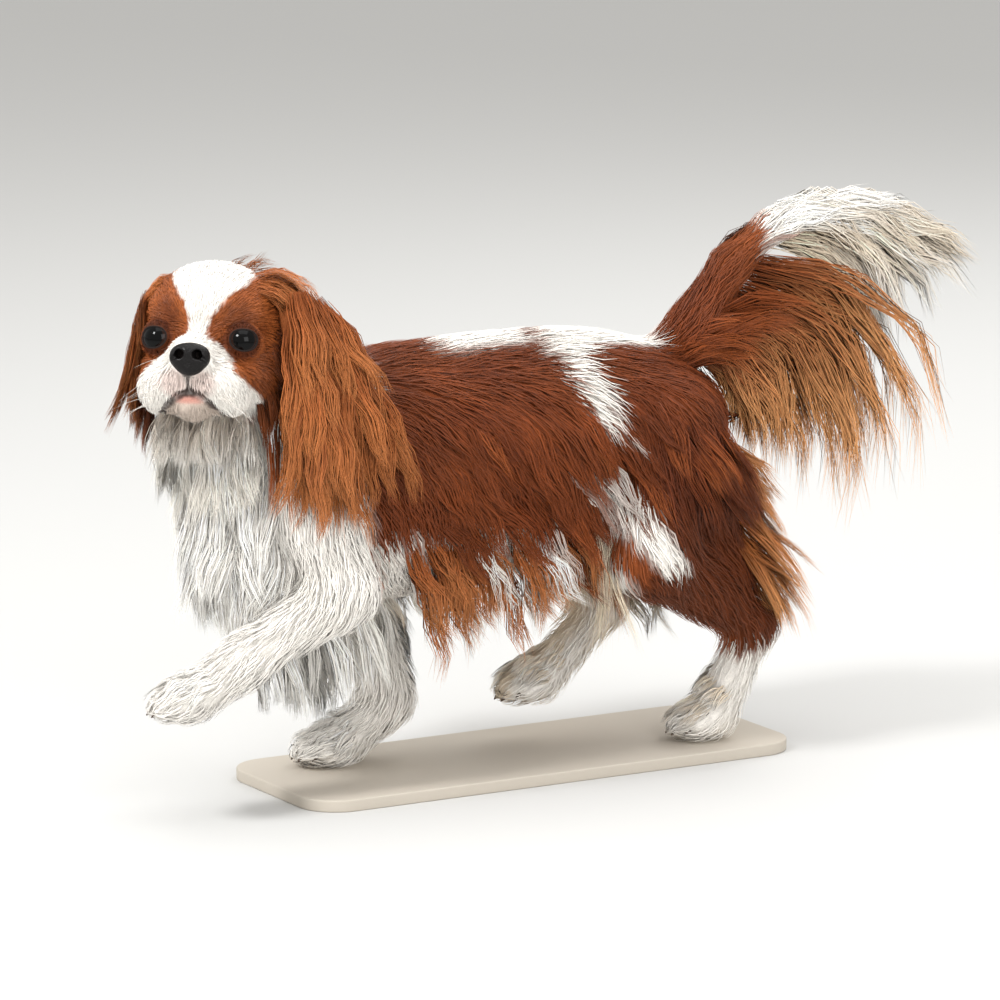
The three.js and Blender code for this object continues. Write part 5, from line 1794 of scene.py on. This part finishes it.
def long_coat() -> dict[str, tuple[Slot, list[LongHair]]]:
    """Every patch of long hair, by the piece that it makes.

    Returns:
        For each piece its slot and its patches.
    """
    ear_left = LongHair(
        roots=[
            [[58, -206, 372], [62, -198, 374], [64, -186, 368]],
            [[66, -210, 348], [73, -202, 350], [78, -188, 344]],
            [[80, -212, 316], [86, -190, 320], [87, -163, 312]],
            [[86, -206, 284], [89, -180, 276], [88, -150, 286]],
        ],
        leave=[
            [[0.6, -0.1, -0.7], [0.6, 0.1, -0.7], [0.5, 0.5, -0.7]],
            [[0.25, -0.1, -1], [0.2, 0.15, -1], [0.1, 0.5, -0.8]],
            [[0.15, -0.15, -1], [0.12, 0.15, -1], [0.0, 0.5, -0.8]],
        ],
        end=[[0, -0.1, -1], [0, 0.1, -1], [0, 0.3, -1]], lengths=[88, 96, 88], locks=92, strands=50,
        width=15, thick=5, colours=((0.27, 0.070, 0.017), (0.54, 0.190, 0.058)), out=(0.9, -0.3, 0.1),
        seed=101, depth=4, wave=2.2, on_skin=False, rings=5, stray=0.16, strand=0.85, behind=-0.85,
    )
    ear_right = LongHair(
        roots=[
            head_row((-46, -50, 38), (-48, -34, 40), (-45, -18, 34)),
            head_row((-50, -50, 16), (-52, -30, 18), (-49, -12, 10)),
            head_row((-50, -48, -14), (-52, -29, -16), (-50, -12, -14)),
        ],
        leave=head_ways(
            ((-0.15, 0, -1), (-0.15, 0, -1), (-0.1, 0.1, -1)), ((0, 0, -1), (0, 0, -1), (0, 0.05, -1)),
            ((0, 0, -1), (0, 0, -1), (0, 0.1, -1)),
        ),
        end=head_ways(
            ((0.1, 0, -1), (0.1, 0, -1), (0.15, 0, -1)), ((0.1, 0, -1), (0.1, 0, -1), (0.1, 0, -1)),
            ((0.2, 0, -1), (-0.1, 0, -1), (-0.7, 0.2, -0.7)),
        ),
        lengths=[56, 58, 50], locks=54, strands=40, width=13, thick=5,
        colours=((0.26, 0.068, 0.016), (0.52, 0.185, 0.058)), out=tuple(-HEAD_LEFT), seed=102, depth=4,
        on_skin=False, wave=2.0,
    )
    chest = LongHair(
        roots=[
            [[-50, -216, 240], [0, -256, 244], [50, -216, 240]],
            [[-54, -208, 196], [0, -250, 196], [54, -208, 196]],
            [[-40, -206, 170], [0, -238, 168], [40, -206, 170]],
        ],
        leave=[[-0.3, -0.3, -0.9], [0, -0.4, -0.9], [0.3, -0.3, -0.9]],
        end=[[0, 0.2, -1], [0, 0.25, -1], [0, 0.2, -1]], lengths=[62, 72, 62], locks=78, strands=44,
        width=23, thick=5, colours=(WHITE, (0.96, 0.93, 0.87)), seed=103, depth=8, wave=3.5,
        wave_length=95, gather=0.3, rings=3, stray=0.18, behind=-1,
    )
    throat = LongHair(
        roots=[
            [[-44, -240, 290], [0, -262, 288], [48, -236, 292]],
            [[-40, -238, 262], [0, -262, 260], [44, -234, 264]],
        ],
        leave=[[-0.3, -0.4, -0.9], [0, -0.5, -0.9], [0.4, -0.3, -0.9]],
        end=[[0, 0.1, -1], [0, 0.05, -1], [0, 0.1, -1]], lengths=[64, 70, 64], locks=46, strands=42,
        width=22, thick=5, colours=(WHITE, (0.94, 0.88, 0.78)), seed=104, depth=9, wave=4.0,
        wave_length=90, stray=0.2, gather=0.3, rings=3, behind=-1,
    )
    beard = LongHair(
        roots=[
            head_row((-30, -16, -50), (-12, -2, -58), (12, -2, -58), (30, -16, -50)),
            head_row((-36, -40, -56), (-14, -26, -64), (14, -26, -64), (36, -40, -56)),
        ],
        leave=[[-0.2, -0.3, -0.9], [0, -0.3, -1], [0, -0.3, -1], [0.2, -0.2, -0.9]],
        end=[[-0.1, 0.1, -1], [0, 0.1, -1], [0, 0.1, -1], [0.1, 0.1, -1]], lengths=[44, 38, 38, 46],
        locks=40, strands=36, width=16, thick=4, colours=((0.72, 0.62, 0.52), WHITE), seed=117, depth=4,
        strand=0.6, wave=3.0, stray=0.14, gather=0.3, rings=3, wave_length=80,
    )
    crown = LongHair(
        roots=[
            head_row((27, -64, 58), (30, -46, 60), (31, -30, 57), (32, -18, 48)),
            head_row((44, -70, 42), (46, -50, 42), (46, -34, 40), (42, -20, 32)),
        ],
        leave=head_ways(
            ((0.8, -0.4, 0.3), (0.9, -0.2, 0.3), (0.9, -0.2, 0.2), (0.9, -0.3, 0.1)),
            ((0.7, -0.4, 0.1), (0.8, -0.2, 0.0), (0.7, -0.3, -0.2), (0.6, -0.5, -0.3)),
        ),
        end=head_ways(
            ((0.3, -0.2, -1), (0.3, -0.1, -1), (0.3, -0.2, -1), (0.2, -0.4, -1)),
            ((0.1, -0.2, -1), (0.1, -0.1, -1), (0.1, -0.2, -1), (0.1, -0.4, -1)),
        ),
        lengths=[58, 60, 52, 30], locks=50, strands=30, width=13, thick=3,
        colours=((0.32, 0.086, 0.021), (0.56, 0.200, 0.060)), seed=118, depth=5, strand=0.75, wave=2.0,
        rings=3, gather=0.45, stray=0.16, wave_length=80, behind=-1,
    )
    cheek = LongHair(
        roots=[
            head_row((45, -24, 12), (49, -36, 12), (52, -50, 8)),
            head_row((46, -22, -16), (49, -36, -20), (50, -50, -24)),
            head_row((40, -22, -38), (42, -36, -46), (42, -50, -50)),
        ],
        leave=head_ways(((0.3, -0.3, -0.9), (0.3, -0.4, -0.9), (0.2, -0.5, -0.9))),
        end=head_ways(((0.1, -0.2, -1), (0, -0.2, -1), (0, -0.2, -1))), lengths=[30, 38, 44], locks=30,
        strands=30, width=12, thick=3, colours=((0.11, 0.027, 0.007), (0.22, 0.058, 0.016)), seed=119,
        depth=3, strand=0.8, rings=3, wave_length=70,
    )
    wisps = LongHair(
        roots=[head_row((4, -66, 61), (22, -56, 60), (36, -44, 56))],
        leave=[[0.4, 0.2, 0.7], [0.6, 0.5, 0.5], [0.7, 0.6, 0.3]],
        end=[[0.6, 0.8, -0.1], [0.6, 0.8, -0.3], [0.5, 0.8, -0.6]], lengths=[34, 42, 38], locks=10,
        strands=9, width=9, thick=3, colours=(FACE, GOLD), seed=120, strand=0.55, stray=0.3, rings=3,
    )
    ruff = LongHair(
        roots=[
            [[52, -232, 316], [56, -196, 306], [58, -160, 306]],
            [[58, -226, 284], [62, -190, 266], [64, -150, 272]],
        ],
        leave=[[0.5, -0.3, -0.8], [0.4, 0.1, -0.9], [0.3, 0.5, -0.8]],
        end=[[0, -0.1, -1], [0, 0.1, -1], [0, 0.3, -1]], lengths=[74, 80, 80], locks=22, strands=34,
        width=16, thick=5, colours=(CHESTNUT, RUST), seed=105, depth=6, marked=0.8, rings=3,
        wave_length=90,
    )
    side = LongHair(
        roots=[
            [[66, -116, 290], [64, -10, 294], [58, 84, 288]],
            [[80, -104, 240], [78, 0, 240], [72, 66, 240]],
            [[76, -100, 200], [74, 0, 204], [66, 60, 206]],
        ],
        leave=[[0.1, 0.8, -0.7]] * 3, end=[[0, 0.35, -1], [0, 0.3, -1], [0, 0.35, -1]],
        lengths=[76, 80, 78], locks=76, strands=34, width=16, thick=2.5, colours=(CHESTNUT, RUST),
        seed=106, depth=5.5, marked=0.85, strand=0.95, behind=-1,
    )
    fringe = LongHair(
        roots=[
            [[72, -112, 182], [76, -20, 186], [68, 62, 196]],
            [[68, -112, 165], [72, -20, 168], [64, 62, 182]],
            [[46, -104, 142], [50, -20, 148], [42, 70, 168]],
        ],
        leave=[[0.25, 0.4, -0.9], [0.2, 0.4, -0.9], [0.2, 0.4, -0.9]],
        end=[[-0.1, 0.3, -1], [-0.1, 0.25, -1], [0, 0.2, -1]], lengths=[82, 78, 84], locks=70, strands=30,
        width=15, thick=4, colours=(RUST, GOLD), seed=107, depth=5, marked=0.35, strand=0.8, stray=0.2,
        wave=4, gather=0.5,
    )
    belly = LongHair(
        roots=[[[0, -120, 132], [0, -20, 142], [0, 60, 160]]],
        leave=[[0, 0.5, -0.8], [0, 0.5, -0.8], [0, 0.4, -0.8]],
        end=[[0, 0.2, -1], [0, 0.2, -1], [0, 0.2, -1]], lengths=[36, 42, 44], locks=20, strands=22,
        width=18, thick=6, colours=(WHITE, CREAM), seed=108, stray=0.25, rings=6, wave_length=80,
    )
    skirt = LongHair(
        roots=[
            [[60, 42, 210], [62, 42, 192], [56, 48, 168]], [[64, 60, 204], [64, 56, 186], [58, 58, 164]],
        ],
        leave=[[0.12, 0.35, -1], [0.12, 0.2, -1], [0.1, 0, -1]],
        end=[[-0.1, 0.15, -1], [-0.1, 0.05, -1], [0, 0, -1]], lengths=[104, 116, 104], locks=12,
        strands=24, width=14, thick=5, colours=((0.85, 0.72, 0.55), (0.95, 0.80, 0.62)), gather=0.5,
        stray=0.18, wave=3, seed=109, depth=7, strand=0.6, rings=6, wave_length=110,
    )
    thigh = LongHair(
        roots=[
            [[66, 96, 266], [74, 124, 254], [62, 150, 250]],
            [[78, 100, 226], [78, 124, 214], [66, 150, 216]],
        ],
        leave=[[0.2, 0.5, -0.9], [0.2, 0.5, -0.9], [0.2, 0.7, -0.8]],
        end=[[0, 0.4, -1], [0, 0.5, -1], [0, 0.5, -1]], lengths=[72, 76, 66], locks=28, strands=32,
        width=16, thick=4, colours=(CHESTNUT, RUST), seed=110, depth=6, marked=0.6, rings=3,
        wave_length=90, gather=0.5,
    )
    breeches = LongHair(
        roots=[
            [[62, 156, 226], [60, 162, 190], [54, 166, 150], [47, 186, 108]],
            [[30, 172, 226], [32, 172, 190], [36, 176, 150], [40, 194, 108]],
        ],
        leave=[[0.1, 0.7, -0.7], [0.1, 0.8, -0.6], [0.1, 0.7, -0.7], [0, 0.5, -0.9]],
        end=[[0, 0.6, -1], [0, 0.5, -1], [0, 0.32, -1], [0, 0.15, -1]], lengths=[76, 94, 94, 66],
        locks=50, strands=32, width=15, thick=5, colours=((0.30, 0.085, 0.020), (0.78, 0.36, 0.135)),
        seed=111, depth=5, gather=0.5, stray=0.18,
    )
    far_breeches = breeches.mirrored()
    far_roots = [
        [[x, y - back, z + up] for (x, y, z), back, up in zip(row, (4, 8, 24, 70), (0, 0, 0, 4))]
        for row in far_breeches.roots
    ]
    far_breeches = replace(far_breeches, roots=far_roots, colours=(CREAM, CREAM), locks=36)
    feather = LongHair(
        roots=[
            [[76, -150, 154], [70, -196, 124], [64, -238, 98]],
            [[58, -146, 148], [56, -192, 118], [54, -232, 94]],
        ],
        leave=[[0, 0.5, -0.9], [0, 0.3, -1], [0, 0.2, -1]],
        end=[[0, -0.1, -1], [0, -0.1, -1], [0, 0, -1]], lengths=[60, 62, 28], locks=38, strands=32,
        width=13, thick=5, colours=(WHITE, (0.96, 0.93, 0.87)), seed=112, rings=3, wave_length=80,
        gather=0.4,
    )
    far_feather = LongHair(
        roots=[[[-56, -74, 150], [-50, -60, 112], [-42, -56, 66]]],
        leave=[[0, 0.8, -0.7], [0, 0.8, -0.8], [0, 0.8, -0.8]],
        end=[[0, 0.3, -1], [0, 0.2, -1], [0, 0.2, -1]], lengths=[52, 46, 26], locks=24, strands=28,
        width=12, thick=6, colours=(WHITE, WHITE), seed=113, rings=3, wave_length=80, gather=0.4,
    )
    plume_root = LongHair(
        roots=[
            [[10, 168, 286], [10, 192, 322], [12, 218, 352]],
            [[-10, 168, 286], [-10, 192, 322], [-6, 218, 352]],
        ],
        leave=[[0, 0.9, -0.6], [0, 1, -0.4], [0, 1, -0.1]],
        end=[[0, -0.1, -1], [0, -0.1, -1], [0, 0, -1]], lengths=[80, 220, 245], locks=62, strands=34,
        width=15, thick=7, colours=((0.20, 0.045, 0.010), (0.90, 0.45, 0.18)), out=(1, 0, 0), seed=114,
        wave=5, wave_length=90, stray=0.11, rings=5, behind=-0.4,
    )
    tail_base = LongHair(
        roots=[
            [[16, 132, 284], [15, 154, 302], [12, 178, 334]],
            [[20, 142, 268], [18, 158, 280], [14, 180, 312]],
        ],
        leave=[[0.25, 0.8, 0.4], [0.25, 0.8, 0.5], [0.2, 0.8, 0.4]],
        end=[[0.1, 0.8, -0.8], [0.1, 0.9, -0.4], [0, 1, -0.2]], lengths=[60, 70, 84], locks=20,
        strands=32, width=14, thick=4, colours=(CHESTNUT, RUST), seed=121, depth=5, rings=3,
        wave_length=90,
    )
    dock_top = LongHair(
        roots=[
            [[12, 186, 342], [12, 216, 370], [12, 250, 388], [12, 290, 384]],
            [[-10, 186, 344], [-8, 216, 372], [-6, 250, 388], [-2, 290, 384]],
        ],
        leave=[[0, 0.7, 0.7], [0, 0.8, 0.5], [0, 1, 0.2], [0, 1, 0]],
        end=[[0, 1, 0.2], [0, 1, 0], [0, 1, -0.3], [0, 1, -0.5]], lengths=[56, 66, 80, 90], locks=30,
        strands=32, width=14, thick=4, colours=(WHITE, WHITE), seed=122, depth=3, marked=0.9,
    )
    plume_under = LongHair(
        roots=[
            [[8, 228, 366], [12, 262, 374], [14, 292, 368]],
            [[-6, 228, 366], [-4, 262, 374], [0, 292, 368]],
        ],
        leave=[[0, 1, 0], [0, 1, -0.1], [0, 1, -0.1]], end=[[0, 0, -1], [0, 0.1, -1], [0, 0.9, -0.9]],
        lengths=[170, 132, 130], locks=40, strands=32, width=15, thick=7, colours=(CREAM, WHITE),
        out=(1, 0, 0), seed=115, wave=4, wave_length=55, behind=-0.4,
    )
    plume_top = LongHair(
        roots=[
            [[8, 222, 382], [11, 256, 389], [13, 292, 380]],
            [[-5, 222, 382], [-3, 256, 389], [1, 292, 380]],
        ],
        leave=[[0, 1, 0.2], [0, 1, 0.1], [0, 1, 0]], end=[[0, 0.6, -1], [0, 0.8, -0.9], [0, 0.9, -0.5]],
        lengths=[148, 148, 126], locks=50, strands=32, width=15, thick=7, colours=(WHITE, CREAM),
        out=(1, 0, 0), seed=116, wave=4, wave_length=55, behind=-0.4,
    )
    far_base = replace(tail_base.mirrored(), lengths=[34, 38, 44], locks=12, stray=0.05)
    far_side = replace(side.mirrored(), locks=44, rings=3, wave_length=90)
    far_fringe = replace(fringe.mirrored(), locks=44, rings=3, wave_length=80)
    close = head_ways(((0.3, -0.4, 0.1), (0.3, -0.2, -0.1), (0.3, -0.2, -0.3), (0.3, -0.3, -0.4)))
    far_crown = replace(crown, locks=40, leave=close, lengths=[44, 46, 42, 28], stray=0.08).across_head()
    paws = [
        paw_hair(leg, colour, 130 + i)
        for i, (leg, colour) in enumerate(zip(DOG.legs().values(), (WHITE, WHITE, CREAM, CREAM)))
    ]
    return {
        "hair_paws": (Slot.WHITE, paws), "hair_ear_left": (Slot.RUST, [ear_left]),
        "hair_ear_right": (Slot.RUST, [ear_right]), "hair_chest": (Slot.WHITE, [chest, throat, beard]),
        "hair_head": (Slot.RUST, [crown, far_crown, cheek, cheek.across_head(), wisps]),
        "hair_ruff": (Slot.RUST, [ruff, ruff.mirrored()]),
        "hair_side_left": (Slot.CHESTNUT, [side, fringe]),
        "hair_side_right": (Slot.CHESTNUT, [far_side, far_fringe]),
        "hair_skirt": (Slot.WHITE, [skirt, skirt.mirrored(), belly]),
        "hair_thighs": (Slot.CHESTNUT, [thigh, thigh.mirrored()]),
        "hair_breeches": (Slot.RUST, [breeches, far_breeches]),
        "hair_forelegs": (Slot.WHITE, [feather, far_feather]),
        "hair_tail_base": (Slot.CHESTNUT, [tail_base, far_base]),
        "hair_tail_root": (Slot.RUST, [plume_root]),
        "hair_tail_tip": (Slot.WHITE, [plume_under, plume_top, dock_top]),
    }


# The studio

@dataclass(frozen=True)
class Lamp:
    """A large soft lamp that looks at the dog.

    azimuth and elevation are its place in degrees round from the front and up from the floor,
    reach is its distance, size the length of its sides and power its watts.
    """

    name: str
    azimuth: float
    elevation: float
    reach: float
    size: float
    power: float


@dataclass(frozen=True)
class Studio:
    """The camera at the photograph's place, a pale floor and soft light."""

    target: tuple[float, float, float] = (0.0, 0.0, 191.0)
    azimuth: float = 60.0
    elevation: float = 11.0
    distance: float = 5.0
    lens: float = 244.8
    sensor: float = 36.0
    view_end: float = 60.0
    floor_half: float = 20.0
    air: tuple[float, float, float, float] = (1.0, 0.985, 0.96, 1)
    air_strength: float = 0.75
    lamps: Sequence[Lamp] = (
        Lamp("key", 10, 42, 2.6, 0.5, 42.0), Lamp("fill", 85, 24, 3.0, 1.6, 34.0),
        Lamp("top", 60, 85, 2.4, 2.2, 30.0), Lamp("back", 215, 40, 2.8, 1.4, 24.0),
    )

    def aim(self, item: bpy.types.Object, azimuth: float, elevation: float, reach: float) -> None:
        """Puts an object at a place round the target and turns it to look there.

        Args:
            item: The object.
            azimuth: Its place round the target, in degrees from the front.
            elevation: Its place over the floor, in degrees.
            reach: Its distance.
        """
        turn, lift = math.radians(azimuth), math.radians(elevation)
        way = Vector((math.sin(turn) * math.cos(lift), -math.cos(turn) * math.cos(lift), math.sin(lift)))
        item.location = Vector(PLACE.metres(np.array(self.target))) + way * reach
        item.rotation_euler = way.to_track_quat("Z", "Y").to_euler()

    def build(self) -> None:
        """Sets up the camera, the floor, the lights and the air."""
        scene = bpy.context.scene
        data = bpy.data.cameras.new("camera")
        data.lens = self.lens
        data.sensor_width = self.sensor
        data.clip_end = self.view_end
        scene.camera = in_scene("camera", data)
        self.aim(scene.camera, self.azimuth, self.elevation, self.distance)
        self.floor()
        for lamp in self.lamps:
            data = bpy.data.lights.new(lamp.name, "AREA")
            data.size = lamp.size
            data.energy = lamp.power
            self.aim(in_scene(lamp.name, data), lamp.azimuth, lamp.elevation, lamp.reach)
        world = bpy.data.worlds.new("studio_air")
        world.use_nodes = True
        looks = {"Color": self.air, "Strength": self.air_strength}
        NodeSheet(world.node_tree).feed(world.node_tree.nodes["Background"], looks)
        scene.world = world
        scene.view_settings.view_transform = "Standard"

    def floor(self) -> None:
        """A wide pale floor."""
        far = self.floor_half
        mesh = bpy.data.meshes.new("floor")
        mesh.from_pydata(
            [(-far, -far, 0), (far, -far, 0), (far, far, 0), (-far, far, 0)], [], [(0, 1, 2, 3)],
        )
        mesh.materials.append(PlainFinish("pale_floor", (0.62, 0.62, 0.61), 0.9).material())
        in_scene("floor", mesh)


def main() -> None:
    """Builds the dog from its skin outwards, then the studio."""
    logging.basicConfig(level=logging.INFO, format="%(name)s %(message)s")
    Studio().build()
    hair = PaintedFinish("silky_hair", "hair_streaks", True, 0.4, 0.42, 0.22, 0.15).material()
    pile = PaintedFinish("short_pile", "short_pile", False, 0.7, 0.8, 0.2, 0.8).material()
    nose = PlainFinish("moist_nose", (0.006, 0.005, 0.005), 0.42, 0.12, 0.6, 1100.0, True).material()
    SKIN.build(pile)
    for side in SIDES:
        Eye(side).build(EyeFinish().material(), pile)
    Nose().build(nose)
    Ear("ear_left", EAR_LEFT_LINE, (0.9, -0.3, 0.1)).build(pile)
    Ear("ear_right", EAR_RIGHT_LINE, -HEAD_LEFT).build(pile)
    Claws().build(PlainFinish("worn_horn", (0.10, 0.070, 0.050), 0.4, 0.1, 0.1, 500.0).material())
    Board().build(PlainFinish("matt_board", (0.55, 0.50, 0.43), 0.7, 0.0, 0.15, 90.0).material())
    Whiskers().build(PlainFinish("pale_whisker", (0.75, 0.70, 0.64), 0.4).material())
    ShortCoat().build(hair)
    for name, (slot, patches) in long_coat().items():
        grown = Hair.together([patch.grow() for patch in patches])
        grown.roots = SKIN.places_at(grown.paths[:, 0])
        grown.surface().piece(name, hair, slot)


if __name__ == "__main__":
    main()
